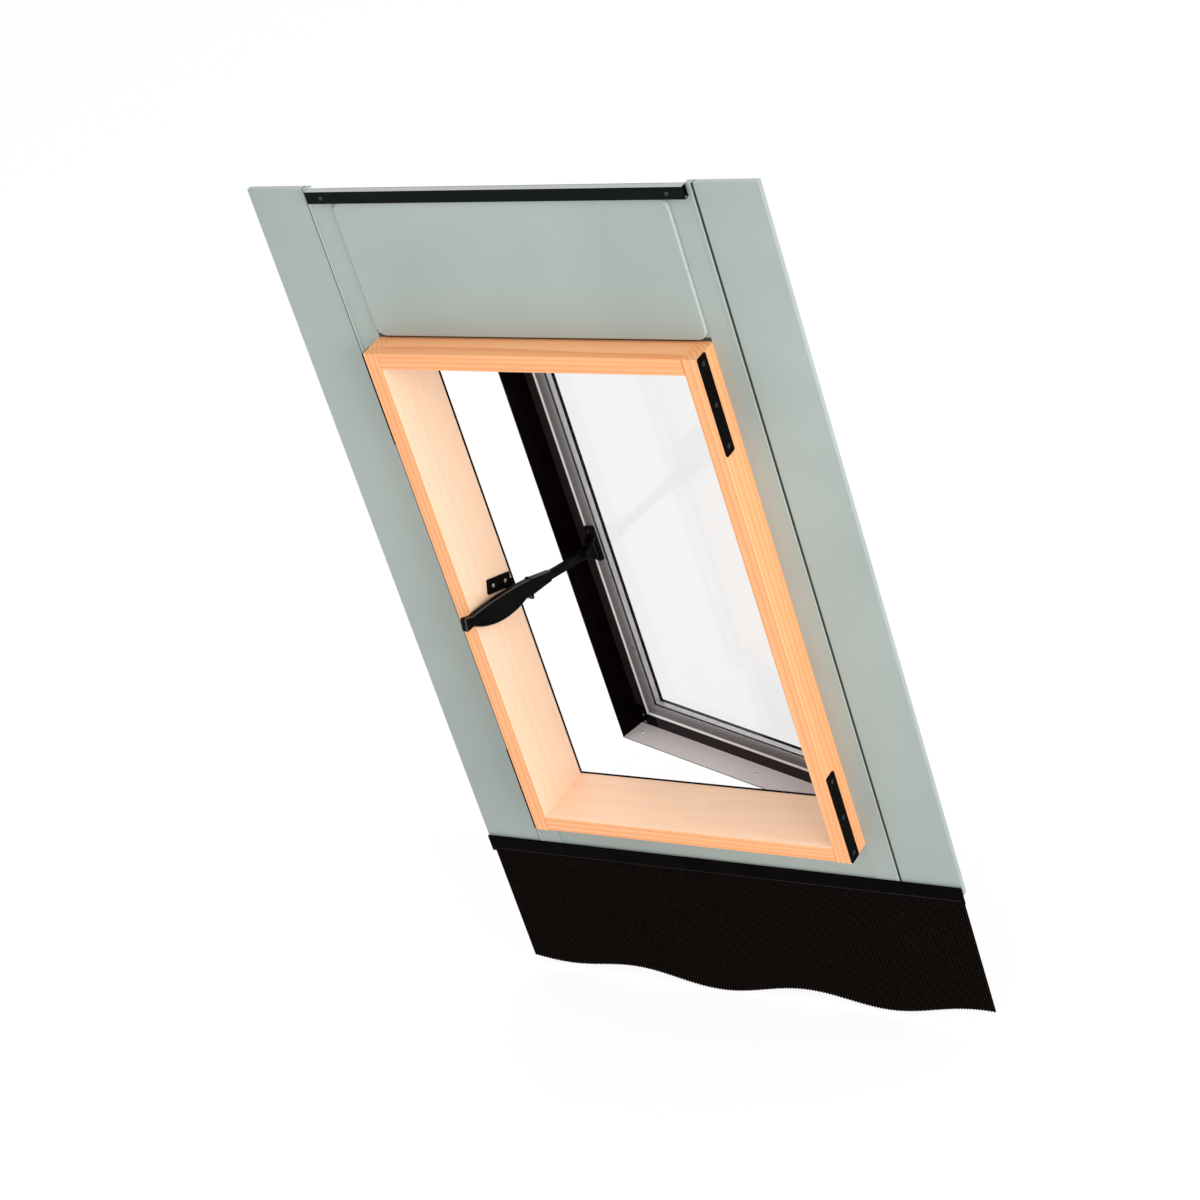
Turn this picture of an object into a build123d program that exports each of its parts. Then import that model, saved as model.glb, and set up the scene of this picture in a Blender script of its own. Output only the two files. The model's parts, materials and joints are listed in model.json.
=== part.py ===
from build123d import *
import os
from math import cos, radians, sin, tan

os.makedirs("parts", exist_ok=True)

# Roof skylight seen from the room: X to the right, Y outward through the roof, Z up the slope.
# The origin is the centre of the timber frame, on the room face of the flashing sheets.
# All sizes are millimetres.

# Timber frame
frame_width = 540.0
frame_height = 830.0
timber = 25.0
room_depth = 46.0
outer_depth = 66.0
timber_ease = 1.2
corner_screw_inset = 12.0
corner_screw_from_room = 19.0
corner_screw_from_outside = 11.0
corner_screw_length = 60.0
pilot_run = 1.0

# Seal on the outer end of the timber
seal_base = 12.0
seal_base_height = 1.5
seal_bulb_radius = 1.9
seal_bulb_sink = 0.6
seal_from_outside = 8.5

# Flashing sheets
sheet = 0.8
flashing_side = 137.0
flashing_head = 233.0
flashing_sill = 76.0
strip_reach = 40.0
seam_lap = 10.0
hem_width = 6.0
rib_height = 8.0
collar_height = 50.0
end_sheet_gap = 1.0

# Head cover panel and the bar above it
cover_margin = 2.0
cover_rise = 5.0
cover_gap = 4.0
cover_corner = 16.0
cover_edge = 2.4
bar_height = 19.0
bar_depth = 10.0
bar_wall = 1.6
bar_edge = 2.0
bar_side_gap = 3.0
bar_screw_from_end = 25.0

# Pleated apron and its binding strip
binding_height = 28.0
binding_thickness = 2.0
binding_lap = 14.0
pleat_pitch = 3.5
pleat_depth = 3.0
apron_thickness = 0.5
apron_gap = 1.0
apron_drop = 222.0
apron_wave = 9.0
apron_sag = 12.0
apron_period = 285.0
apron_low_x = -60.0
apron_wave_steps = 30

# Mounting straps on the jambs
strap_length = 150.0
strap_width = 22.0
strap_thickness = 1.6
strap_corner = 3.0
strap_screw_from_end = 12.0
strap_screw_pitch = 63.0
strap_screws = 3
strap_head_radius = 3.4
strap_screw_length = 20.0

# Screws
wood_screw_radius = 2.0
wood_head_radius = 4.2
sink_angle = 90.0
small_screw_radius = 1.5
small_head_radius = 3.0
small_head_height = 1.4
small_head_taper = 25.0
small_screw_length = 12.0
screw_slack = 0.05

# Sash profile: inset is measured inward from the outside of the sash,
# depth outward from the room edge of the skirt
opening = 16.8
closed_gap = 2.2
skirt_clearance = 1.9
wall = 1.6
skirt_depth = 41.0
web_inset = 32.0
cap_inset = 44.0
sash_depth = 65.2
drain_slot = 8.0
drain_width = 3.0
drain_depth = 22.0
drain_from_corner = 19.0

# Glazing
bead_start = 26.3
bead_nose = 1.6
bead_rise = 4.0
bead_end = 46.0
bead_fall = 5.0
bead_back = 3.0
bead_gap = 0.4
glass_edge = 36.0
pane = 4.0
cavity = 8.0
spacer_start = 38.0
spacer_width = 7.0
gasket = 1.5
gasket_width = 5.0
gasket_start = 41.0
cap_gasket_start = 38.0

# Sash corner plates
corner_plate_start = 4.0
corner_plate_width = 20.0
corner_plate_arm = 34.0
corner_plate_thickness = 1.4
corner_screw_offset = 13.0
corner_screw_pitch = 13.0
corner_head_radius = 2.4
corner_head_height = 0.5

# Side hinges
hinge_from_end = 135.0
hinge_length = 50.0
hinge_knuckle = 20.0
hinge_knuckle_gap = 0.3
hinge_plate = 2.4
hinge_barrel = 4.0
hinge_pin_radius = 2.2
hinge_running = 0.06
hinge_pin_out = 4.7
hinge_pin_below = 3.0
hinge_above_flashing = 3.9
hinge_sash_leaf = 27.0
hinge_head = 3.4
hinge_head_height = 1.2
hinge_screw_pitch = 32.0
hinge_leaf_raise = 2.0
hinge_rivet_radius = 2.0
hinge_rivet_edge = 5.0

# Stay: bracket on the free stile, knuckle, bar and grip
stay_level = -72.0
stay_inset = 45.6
stay_depth = 24.0
stay_yaw = 8.6
stay_pitch = 11.2
stay_follow = 0.363
bracket_width = 15.0
bracket_height = 58.0
bracket_plate = 3.0
bracket_from_glass = 0.4
bracket_screw_pitch = 44.0
bracket_screw_bite = 5.0
ear_thickness = 3.0
ear_radius = 7.0
knuckle_height = 20.0
knuckle_gap = 0.3
knuckle_reach = 16.0
cheek_thickness = 3.0
cheek_root = 18.0
cheek_gap = 0.2
pivot_radius = 2.5
pivot_running = 0.06
pivot_head = 4.2
pivot_head_height = 1.5
lift_pin_radius = 2.2
lift_head = 3.4
lift_head_height = 1.0
stay_bar_thickness = 5.0
stay_bar_height = 14.0
stay_bar_end = 240.0
grip_start = 80.0
grip_end = 268.0
grip_thickness = 11.0
grip_round = 1.4
grip_neck = 16.0
grip_rim = 4.0
rim_depth = 1.0
ridge_at = 128.0
ridge_rise = 2.6
ridge_width = 8.0
shoulder = 13.4
crown_at = 165.0
crown = 14.6
spur_at = 122.0
spur_root = 12.5
spur_drop = 6.0
spur_tip = 4.0
belly_start = 138.0
belly_at = 176.0
belly = 22.5
butt_length = 16.0
butt_waist = 16.0
butt_flare = 3.4
butt_corner = 3.0
latch_angles = (12.6, 16.8, 21.0, 25.2)
socket_radius = 4.6
rivet_radius = 2.2
rivet_places = (119.0, 195.0, 232.0)

# Keeper on the free-side jamb
keeper_thickness = 2.5
keeper_length = 56.0
keeper_height = 22.0
keeper_tilt = 21.0
keeper_y = 31.0
keeper_z = -19.0
lug_width = 18.0
peg_y = 50.0
peg_radius = 4.0
peg_shank_radius = 3.0
peg_length = 6.5
peg_ease = 0.8
keeper_corner = 2.0
keeper_screw_pitch = 30.0

# Places that follow from the sizes above
half_w = frame_width / 2
half_h = frame_height / 2
inner_w = half_w - timber
flash_x = half_w + flashing_side
flash_top = half_h + flashing_head
flash_low = -half_h - flashing_sill
strip_x = half_w + strip_reach
collar_x = half_w + sheet
collar_z = half_h + sheet
sash_half_w = collar_x + skirt_clearance + wall
sash_half_h = collar_z + skirt_clearance + wall
seal_top = outer_depth + seal_base_height + 2 * seal_bulb_radius - seal_bulb_sink
skirt_y = seal_top + closed_gap - skirt_depth
hinge_x = sash_half_w + hinge_pin_out
hinge_y = skirt_y - hinge_pin_below
hinge_frame_leaf = hinge_y - hinge_above_flashing
cap_depth = sash_depth - wall
bead_seat = skirt_depth
glass_depth = bead_seat + bead_back + gasket


def opened(plane):
    """Swing a plane from the closed sash to the resting opening."""
    swing = Pos(hinge_x, hinge_y, 0) * Rot(0, 0, -opening) * Pos(-hinge_x, -hinge_y, 0)
    return Plane(swing * plane.location)


def save(part, name):
    part.label = name
    export_step(part, f"parts/{name}.step")


def sash_side(side):
    """Plane across one sash rail: local X runs inward, local Y outward through the roof."""
    places = {
        "left": ((-sash_half_w, skirt_y, 0), (1, 0, 0), (0, 0, 1)),
        "right": ((sash_half_w, skirt_y, 0), (-1, 0, 0), (0, 0, -1)),
        "top": ((0, skirt_y, sash_half_h), (0, 0, -1), (1, 0, 0)),
        "bottom": ((0, skirt_y, -sash_half_h), (0, 0, 1), (-1, 0, 0)),
    }
    corner, inward, along = places[side]
    return Plane(origin=corner, x_dir=inward, z_dir=along)


def half_length(side):
    return sash_half_h if side in ("left", "right") else sash_half_w


def mitre_planes(side):
    """The two 45 degree planes that close a sash rail at its corners."""
    base = opened(sash_side(side))
    reach = half_length(side)
    planes = []
    for sense in (1, -1):
        origin = base.from_local_coords(Vector(0, 0, sense * reach))
        normal = base.x_dir + base.z_dir * sense
        planes.append(Plane(origin=origin, z_dir=normal))
    return planes


# Fasteners
def flush_screws(spots, length, head):
    """Countersunk screws: each spot is a point on a face and that face's outward direction."""
    head_height = (head - wood_screw_radius) / tan(radians(sink_angle / 2))
    with BuildPart() as screws:
        for point, outward in spots:
            with BuildSketch(Plane(origin=point, z_dir=-outward)):
                Circle(head)
            extrude(amount=head_height, taper=sink_angle / 2)
            with BuildSketch(Plane(origin=point, z_dir=-outward)):
                Circle(wood_screw_radius)
            extrude(amount=length)
    return screws


def dome_screws(spots, length, shank=small_screw_radius):
    """Screws or rivets with a low domed head that stands on a face."""
    with BuildPart() as screws:
        for point, outward in spots:
            with BuildSketch(Plane(origin=point, z_dir=outward)):
                Circle(small_head_radius)
            extrude(amount=small_head_height, taper=small_head_taper)
            with BuildSketch(Plane(origin=point, z_dir=-outward)):
                Circle(shank)
            extrude(amount=length)
    return screws


def spots_on(face, places):
    return [(face.from_local_coords(Vector(x, y, 0)), face.z_dir) for x, y in places]


# Timber: the jambs run through, head and sill stand between them
corner_screw_rows = (-room_depth + corner_screw_from_room, outer_depth - corner_screw_from_outside)
corner_screw_z = half_h - corner_screw_inset
hinge_levels = (half_h - hinge_from_end, -half_h + hinge_from_end)
hinge_screw_y = hinge_y - hinge_frame_leaf / 2
hinge_screw_levels = [z + side * hinge_screw_pitch / 2 for z in hinge_levels for side in (1, -1)]
hinge_screw_places = [(hinge_screw_y, z) for z in hinge_screw_levels]
strap_y = -room_depth + strap_width / 2

# Keeper plate on the inner face of the free-side jamb, tipped to lie along the stay
keeper = Plane(
    origin=(-inner_w, keeper_y, keeper_z),
    x_dir=(0, cos(radians(keeper_tilt)), -sin(radians(keeper_tilt))),
    z_dir=(1, 0, 0),
)
keeper_screw_places = [(-keeper_screw_pitch / 2, 0), (keeper_screw_pitch / 2, 0)]


def strap_screw_levels(end):
    first = half_h - strap_screw_from_end
    return [end * (first - i * strap_screw_pitch) for i in range(strap_screws)]


def outer_face(sense):
    """Outer face of a jamb: local Y is up the slope, local X keeps the axes right-handed."""
    return Plane(origin=(sense * half_w, 0, 0), x_dir=(0, sense, 0), z_dir=(sense, 0, 0))


def jamb(sense):
    with BuildPart() as post:
        with BuildSketch(Plane.XY.offset(-half_h)):
            with Locations((sense * (half_w - timber / 2), (outer_depth - room_depth) / 2)):
                Rectangle(timber, outer_depth + room_depth)
        extrude(amount=frame_height)
        chamfer(post.edges().filter_by(Axis.Z).group_by(Axis.Y)[0], timber_ease)
        corners = [(sense * y, end * corner_screw_z) for y in corner_screw_rows for end in (1, -1)]
        with Locations(outer_face(sense)):
            with Locations(*corners):
                CounterSinkHole(
                    wood_screw_radius + screw_slack,
                    wood_head_radius + screw_slack,
                    depth=timber,
                    counter_sink_angle=sink_angle,
                )
            with Locations(*[(sense * strap_y, z) for end in (1, -1) for z in strap_screw_levels(end)]):
                Hole(wood_screw_radius + screw_slack, depth=strap_screw_length)
            if sense > 0:
                with Locations(*hinge_screw_places):
                    Hole(small_screw_radius + screw_slack, depth=small_screw_length)
        if sense < 0:
            with Locations(keeper):
                with Locations(*keeper_screw_places):
                    Hole(small_screw_radius + screw_slack, depth=small_screw_length)
    return post


def cross_rail(sense):
    with BuildPart() as rail:
        with BuildSketch(Plane.YZ.offset(-inner_w)):
            with Locations(((outer_depth - room_depth) / 2, sense * (half_h - timber / 2))):
                Rectangle(outer_depth + room_depth, timber)
        extrude(amount=2 * inner_w)
        chamfer(rail.edges().filter_by(Axis.X).group_by(Axis.Y)[0], timber_ease)
        for end in (-1, 1):
            face = Plane(origin=(end * inner_w, 0, 0), x_dir=(0, end, 0), z_dir=(end, 0, 0))
            with Locations(face):
                with Locations(*[(end * y, sense * corner_screw_z) for y in corner_screw_rows]):
                    Hole(wood_screw_radius + screw_slack, depth=corner_screw_length - timber + pilot_run)
    return rail


save(jamb(-1).part, "frame_left_jamb")
save(jamb(1).part, "frame_right_jamb")
save(cross_rail(1).part, "frame_head")
save(cross_rail(-1).part, "frame_sill")

# Countersunk screws that hold the frame corners
corner_spots = []
for sense in (-1, 1):
    for y in corner_screw_rows:
        for z in (-corner_screw_z, corner_screw_z):
            corner_spots.append((Vector(sense * half_w, y, z), Vector(sense, 0, 0)))
save(flush_screws(corner_spots, corner_screw_length, wood_head_radius).part, "frame_screws")

# Seal: a flat foot with a round bulb, mitred round the outer end of the timber
with BuildPart() as frame_seal:
    foot_x = half_w - seal_from_outside - seal_base
    foot_z = half_h - seal_from_outside - seal_base
    with BuildSketch(Plane.XZ.offset(-outer_depth)):
        Rectangle(2 * (foot_x + seal_base), 2 * (foot_z + seal_base))
        Rectangle(2 * foot_x, 2 * foot_z, mode=Mode.SUBTRACT)
    extrude(amount=-seal_base_height)
    mid_x = foot_x + seal_base / 2
    mid_z = foot_z + seal_base / 2
    bulb_y = seal_top - seal_bulb_radius
    with BuildLine() as bulb_path:
        Polyline(
            (mid_x, bulb_y, 0), (mid_x, bulb_y, mid_z), (-mid_x, bulb_y, mid_z),
            (-mid_x, bulb_y, -mid_z), (mid_x, bulb_y, -mid_z), close=True,
        )
    with BuildSketch(Plane(origin=(mid_x, bulb_y, 0), x_dir=(1, 0, 0), z_dir=(0, 0, 1))):
        Circle(seal_bulb_radius)
    sweep(path=bulb_path.wires()[0], transition=Transition.RIGHT)
save(frame_seal.part, "frame_seal")


# Flashing: outer side sheets with an upturned outer rib and an upturned top edge
def side_sheet(sense):
    inner = strip_x - seam_lap
    width = flash_x - inner
    height = flash_top - flash_low
    with BuildPart() as panel:
        with BuildSketch(Plane.XZ):
            with Locations((sense * (inner + width / 2), (flash_top + flash_low) / 2)):
                Rectangle(width, height)
        extrude(amount=-sheet)
        with BuildSketch(Plane.XZ):
            with Locations((sense * (flash_x - sheet / 2), (flash_top + flash_low) / 2)):
                Rectangle(sheet, height)
            with Locations((sense * (inner + width / 2), flash_top - sheet / 2)):
                Rectangle(width, sheet)
        extrude(amount=-rib_height)
    return panel


save(side_sheet(-1).part, "flashing_left_sheet")
save(side_sheet(1).part, "flashing_right_sheet")


# Collar strips beside the jambs: an angle with a hemmed outer edge
def side_strip(sense):
    with BuildPart() as strip:
        with BuildSketch(Plane.XY.offset(flash_low)):
            with BuildLine():
                Polyline(
                    (sense * half_w, 0), (sense * half_w, -sheet),
                    (sense * (strip_x - hem_width), -sheet), (sense * (strip_x - hem_width), -2 * sheet),
                    (sense * strip_x, -2 * sheet), (sense * strip_x, 0), close=True,
                )
            make_face()
        extrude(amount=flash_top - flash_low)
        with BuildSketch(Plane.XY.offset(-half_h)):
            with Locations((sense * (half_w + sheet / 2), (collar_height - sheet) / 2)):
                Rectangle(sheet, collar_height + sheet)
        extrude(amount=frame_height)
        if sense > 0:
            with Locations(outer_face(sense).offset(sheet)):
                with Locations(*hinge_screw_places):
                    Hole(small_screw_radius + screw_slack, depth=sheet)
    return strip


save(side_strip(-1).part, "flashing_left_strip")
save(side_strip(1).part, "flashing_right_strip")


# Head and sill sheets: each lies behind the strips and turns up against the timber
def end_sheet(sense, reach):
    half = strip_x - seam_lap - end_sheet_gap
    with BuildPart() as panel:
        with BuildSketch(Plane.XZ):
            with Locations((0, sense * (half_h + (reach - half_h) / 2))):
                Rectangle(2 * half, reach - half_h)
        extrude(amount=-sheet)
        with BuildSketch(Plane.XZ):
            with Locations((0, sense * (half_h + sheet / 2))):
                Rectangle(2 * half_w, sheet)
        extrude(amount=-collar_height)
    return panel


save(end_sheet(1, flash_top).part, "flashing_head_sheet")
save(end_sheet(-1, -flash_low).part, "flashing_sill_sheet")

# Head cover: a shallow pressed tray with rounded lower corners
cover_half = half_w - cover_margin
cover_low = half_h + cover_gap
cover_top = flash_top - bar_height
with BuildPart() as head_cover:
    with BuildSketch(Plane.XZ) as tray:
        with Locations((0, (cover_low + cover_top) / 2)):
            Rectangle(2 * cover_half, cover_top - cover_low)
        fillet(tray.vertices().group_by(Axis.Z)[0], cover_corner)
    extrude(amount=cover_rise)
    fillet(head_cover.faces().sort_by(Axis.Y)[0].edges(), cover_edge)
    offset(amount=-sheet, openings=head_cover.faces().sort_by(Axis.Y)[-1])
save(head_cover.part, "flashing_head_cover")

# Sealing bar across the top edge, a hollow extrusion with eased room edges
bar_half = strip_x - hem_width - bar_side_gap
bar_back = -sheet
bar_middle = flash_top - bar_height / 2
with BuildPart() as head_bar:
    with BuildSketch(Plane.YZ.offset(-bar_half)) as bar_section:
        with Locations((bar_back - bar_depth / 2, bar_middle)):
            Rectangle(bar_depth, bar_height)
        fillet(bar_section.vertices().group_by(Axis.Y)[0], bar_edge)
    extrude(amount=2 * bar_half)
    with BuildSketch(Plane.YZ.offset(-bar_half)) as bar_hollow:
        with Locations((bar_back - bar_depth / 2, bar_middle)):
            Rectangle(bar_depth - 2 * bar_wall, bar_height - 2 * bar_wall)
    extrude(amount=2 * bar_half, mode=Mode.SUBTRACT)
    bar_face = Plane(origin=(0, bar_back - bar_depth, bar_middle), x_dir=(1, 0, 0), z_dir=(0, -1, 0))
    bar_screw_x = bar_half - bar_screw_from_end
    with Locations(bar_face):
        with Locations((-bar_screw_x, 0), (bar_screw_x, 0)):
            Hole(small_screw_radius + screw_slack, depth=bar_depth)
save(head_bar.part, "head_bar")

# Binding strip that carries the apron
with BuildPart() as apron_binding:
    with BuildSketch(Plane.XZ.offset(2 * sheet)):
        with Locations((0, flash_low + binding_lap - binding_height / 2)):
            Rectangle(2 * flash_x, binding_height)
    extrude(amount=binding_thickness)
save(apron_binding.part, "apron_binding")

# Pleated apron: a zigzag sheet with a wavy lower edge
apron_top = flash_low - apron_gap
pleats = int(2 * flash_x / pleat_pitch)
apron_half = pleats * pleat_pitch / 2
apron_back = -2 * sheet
with BuildPart() as apron:
    front = []
    back = []
    for fold in range(2 * pleats + 1):
        x = -apron_half + fold * pleat_pitch / 2
        crest = 0.0 if fold % 2 == 0 else pleat_depth - apron_thickness
        front.append((x, apron_back + crest))
        back.append((x, apron_back + crest + apron_thickness))
    with BuildSketch(Plane.XY.offset(apron_top)):
        with BuildLine():
            Polyline(*front, *reversed(back), close=True)
        make_face()
    extrude(amount=-(apron_drop + apron_wave + apron_sag))
    wave = []
    cut_half = apron_half + apron_thickness
    for step in range(apron_wave_steps + 1):
        x = cut_half * (2 * step / apron_wave_steps - 1)
        level = apron_top - apron_drop
        level -= apron_wave * cos(radians(360 * (x - apron_low_x) / apron_period))
        level -= apron_sag * cos(radians(90 * x / cut_half))
        wave.append((x, level))
    floor = apron_top - apron_drop - 2 * (apron_wave + apron_sag)
    with BuildSketch(Plane.XZ.offset(-2 * pleat_depth)):
        with BuildLine():
            Polyline(*wave, (cut_half, floor), (-cut_half, floor), close=True)
        make_face()
    extrude(amount=4 * pleat_depth, mode=Mode.SUBTRACT)
save(apron.part, "apron_pleats")


# Mounting straps, flat steel along the room edge of each jamb
def strap(sense, end):
    face = outer_face(sense)
    with BuildPart() as plate:
        with BuildSketch(face) as outline:
            with Locations((sense * strap_y, end * (half_h - strap_length / 2))):
                Rectangle(strap_width, strap_length)
            fillet(outline.vertices(), strap_corner)
        extrude(amount=strap_thickness)
        with Locations(face.offset(strap_thickness)):
            with Locations(*[(sense * strap_y, z) for z in strap_screw_levels(end)]):
                CounterSinkHole(
                    wood_screw_radius + screw_slack,
                    strap_head_radius + screw_slack,
                    depth=strap_thickness,
                    counter_sink_angle=sink_angle,
                )
    return plate


for side_name, sense in (("left", -1), ("right", 1)):
    for end_name, end in (("top", 1), ("bottom", -1)):
        save(strap(sense, end).part, f"strap_{side_name}_{end_name}")

strap_spots = []
for sense in (-1, 1):
    for end in (-1, 1):
        places = [(sense * strap_y, z) for z in strap_screw_levels(end)]
        strap_spots += spots_on(outer_face(sense).offset(strap_thickness), places)
save(flush_screws(strap_spots, strap_screw_length, strap_head_radius).part, "strap_screws")

bar_spots = spots_on(bar_face, [(-bar_screw_x, 0), (bar_screw_x, 0)])
save(dome_screws(bar_spots, bar_depth).part, "head_bar_screws")

# Outer face of the sash leaves, where rivets join each hinge to the skirt
hinge_leaf_y = skirt_y + hinge_leaf_raise
rivet_face = Plane(
    origin=(sash_half_w + hinge_plate, hinge_leaf_y + hinge_sash_leaf - hinge_rivet_edge, 0),
    x_dir=(0, 1, 0),
    z_dir=(1, 0, 0),
)
hinge_rivet_places = [(0, z) for z in hinge_screw_levels]


# Sash: four mitred rails of one hollow profile
def sash_rail(side):
    length = 2 * half_length(side)
    with BuildPart() as rail:
        base = opened(sash_side(side))
        with BuildSketch(base):
            with BuildLine():
                Polyline(
                    (0, 0), (wall, 0), (wall, skirt_depth), (web_inset + wall, skirt_depth),
                    (web_inset + wall, cap_depth), (cap_inset, cap_depth), (cap_inset, sash_depth),
                    (0, sash_depth), close=True,
                )
            make_face()
            with BuildLine():
                Polyline(
                    (wall, skirt_depth + wall), (web_inset, skirt_depth + wall),
                    (web_inset, cap_depth), (wall, cap_depth), close=True,
                )
            make_face(mode=Mode.SUBTRACT)
        extrude(amount=length / 2, both=True)
        for plane in mitre_planes(side):
            split(bisect_by=plane, keep=Keep.BOTTOM)
        if side == "bottom":
            slot_x = sash_half_w - drain_from_corner - drain_slot / 2
            skirt_face = Plane(origin=(0, skirt_y + drain_depth, -sash_half_h), z_dir=(0, 0, 1))
            with BuildSketch(opened(skirt_face)):
                with Locations((-slot_x, 0), (0, 0), (slot_x, 0)):
                    SlotOverall(drain_slot, drain_width)
            extrude(amount=wall, mode=Mode.SUBTRACT)
        if side == "right":
            with Locations(opened(rivet_face)):
                with Locations(*hinge_rivet_places):
                    Hole(hinge_rivet_radius, depth=hinge_plate + wall)
    return rail


for side, name in (
    ("left", "sash_left_stile"),
    ("right", "sash_right_stile"),
    ("top", "sash_top_rail"),
    ("bottom", "sash_bottom_rail"),
):
    save(sash_rail(side).part, name)

# Room face of the stay bracket, which is screwed to the bead of the free stile
bracket_front = bead_seat - bead_rise - bracket_plate
bracket_middle = stay_inset - bracket_width / 2
bracket_screw_length = bracket_plate + bracket_screw_bite
bracket_screw_places = [(0, stay_level + side * bracket_screw_pitch / 2) for side in (1, -1)]
bracket_face = Plane(
    origin=(-sash_half_w + bracket_middle, skirt_y + bracket_front, 0),
    x_dir=(1, 0, 0),
    z_dir=(0, -1, 0),
)


# Glazing beads: mitred strips with an eased nose and a face that falls to the glass
def bead(side):
    nose = bead_seat - bead_rise
    heel = web_inset + wall + bead_gap
    with BuildPart() as strip:
        with BuildSketch(opened(sash_side(side))):
            with BuildLine():
                Polyline(
                    (bead_start, bead_seat), (bead_start, nose + bead_nose),
                    (bead_start + bead_nose, nose), (bead_end, nose + bead_fall),
                    (bead_end, bead_seat + bead_back), (heel, bead_seat + bead_back),
                    (heel, bead_seat), close=True,
                )
            make_face()
        extrude(amount=half_length(side), both=True)
        for plane in mitre_planes(side):
            split(bisect_by=plane, keep=Keep.BOTTOM)
        if side == "left":
            with Locations(opened(bracket_face)):
                with Locations(*bracket_screw_places):
                    Hole(small_screw_radius + screw_slack, depth=bracket_screw_length)
    return strip


for side in ("left", "right", "top", "bottom"):
    save(bead(side).part, f"bead_{side}")


# Glass unit and its gaskets: rings and sheets parallel to the sash
def sash_layer(depth):
    return opened(Plane(origin=(0, skirt_y + depth, 0), x_dir=(1, 0, 0), z_dir=(0, -1, 0)))


def sash_ring(depth, start, width, thickness):
    with BuildPart() as ring:
        with BuildSketch(sash_layer(depth)):
            Rectangle(2 * (sash_half_w - start), 2 * (sash_half_h - start))
            Rectangle(
                2 * (sash_half_w - start - width),
                2 * (sash_half_h - start - width),
                mode=Mode.SUBTRACT,
            )
        extrude(amount=-thickness)
    return ring


def sash_pane(depth):
    with BuildPart() as sheet_of_glass:
        with BuildSketch(sash_layer(depth)):
            Rectangle(2 * (sash_half_w - glass_edge), 2 * (sash_half_h - glass_edge))
        extrude(amount=-pane)
    return sheet_of_glass


unit_back = glass_depth + 2 * pane + cavity
save(sash_ring(glass_depth - gasket, gasket_start, gasket_width, gasket).part, "gasket_inner")
save(sash_pane(glass_depth).part, "glass_inner_pane")
save(sash_ring(glass_depth + pane, spacer_start, spacer_width, cavity).part, "glass_spacer")
save(sash_pane(glass_depth + pane + cavity).part, "glass_outer_pane")
save(sash_ring(unit_back, cap_gasket_start, gasket_width, cap_depth - unit_back).part, "gasket_outer")


# Corner plates on the flange, each held by two screws
def corner_plate(x_sense, z_sense):
    x0 = x_sense * (sash_half_w - corner_plate_start)
    z0 = z_sense * (sash_half_h - corner_plate_start)
    with BuildPart() as plate:
        with BuildSketch(sash_layer(skirt_depth)):
            with BuildLine():
                Polyline(
                    (x0, z0), (x0 - x_sense * corner_plate_arm, z0),
                    (x0 - x_sense * corner_plate_arm, z0 - z_sense * corner_plate_width),
                    (x0 - x_sense * corner_plate_width, z0 - z_sense * corner_plate_width),
                    (x0 - x_sense * corner_plate_width, z0 - z_sense * corner_plate_arm),
                    (x0, z0 - z_sense * corner_plate_arm), close=True,
                )
            make_face()
        extrude(amount=corner_plate_thickness)
    return plate


for z_sense, z_name in ((1, "top"), (-1, "bottom")):
    for x_sense, x_name in ((-1, "left"), (1, "right")):
        save(corner_plate(x_sense, z_sense).part, f"corner_plate_{z_name}_{x_name}")

with BuildPart() as corner_plate_screws:
    for x_sense in (-1, 1):
        for z_sense in (-1, 1):
            x = x_sense * (sash_half_w - corner_screw_offset)
            z = z_sense * (sash_half_h - corner_plate_start - corner_plate_width / 2)
            for step in (0, 1):
                spot = Vector(x, z - z_sense * (step - 0.5) * corner_screw_pitch, 0)
                layer = sash_layer(skirt_depth - corner_plate_thickness)
                with BuildSketch(Plane(layer.from_local_coords(spot), z_dir=layer.z_dir)):
                    Circle(corner_head_radius)
                extrude(amount=corner_head_height)
save(corner_plate_screws.part, "corner_plate_screws")


# Side hinges: the frame leaf is screwed through the collar, the sash leaf riveted to the skirt
def frame_leaf(level):
    with BuildPart() as leaf:
        with BuildSketch(Plane.XY.offset(level - hinge_length / 2)):
            with Locations((collar_x + hinge_plate / 2, hinge_y - hinge_frame_leaf / 2)):
                Rectangle(hinge_plate, hinge_frame_leaf)
        extrude(amount=hinge_length)
        with BuildSketch(Plane.XY.offset(level - hinge_knuckle / 2)):
            with Locations((hinge_x, hinge_y)):
                Circle(hinge_barrel)
            with Locations((collar_x + hinge_plate / 2, hinge_y - hinge_barrel)):
                Rectangle(hinge_plate, 2 * hinge_barrel)
            make_hull()
        extrude(amount=hinge_knuckle)
        with Locations(Plane(origin=(hinge_x, hinge_y, level + hinge_knuckle / 2), z_dir=(0, 0, 1))):
            Hole(hinge_pin_radius, depth=hinge_knuckle)
        with Locations(outer_face(1).offset(sheet + hinge_plate)):
            with Locations(*hinge_screw_places):
                Hole(small_screw_radius + screw_slack, depth=hinge_plate)
    return leaf


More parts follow.
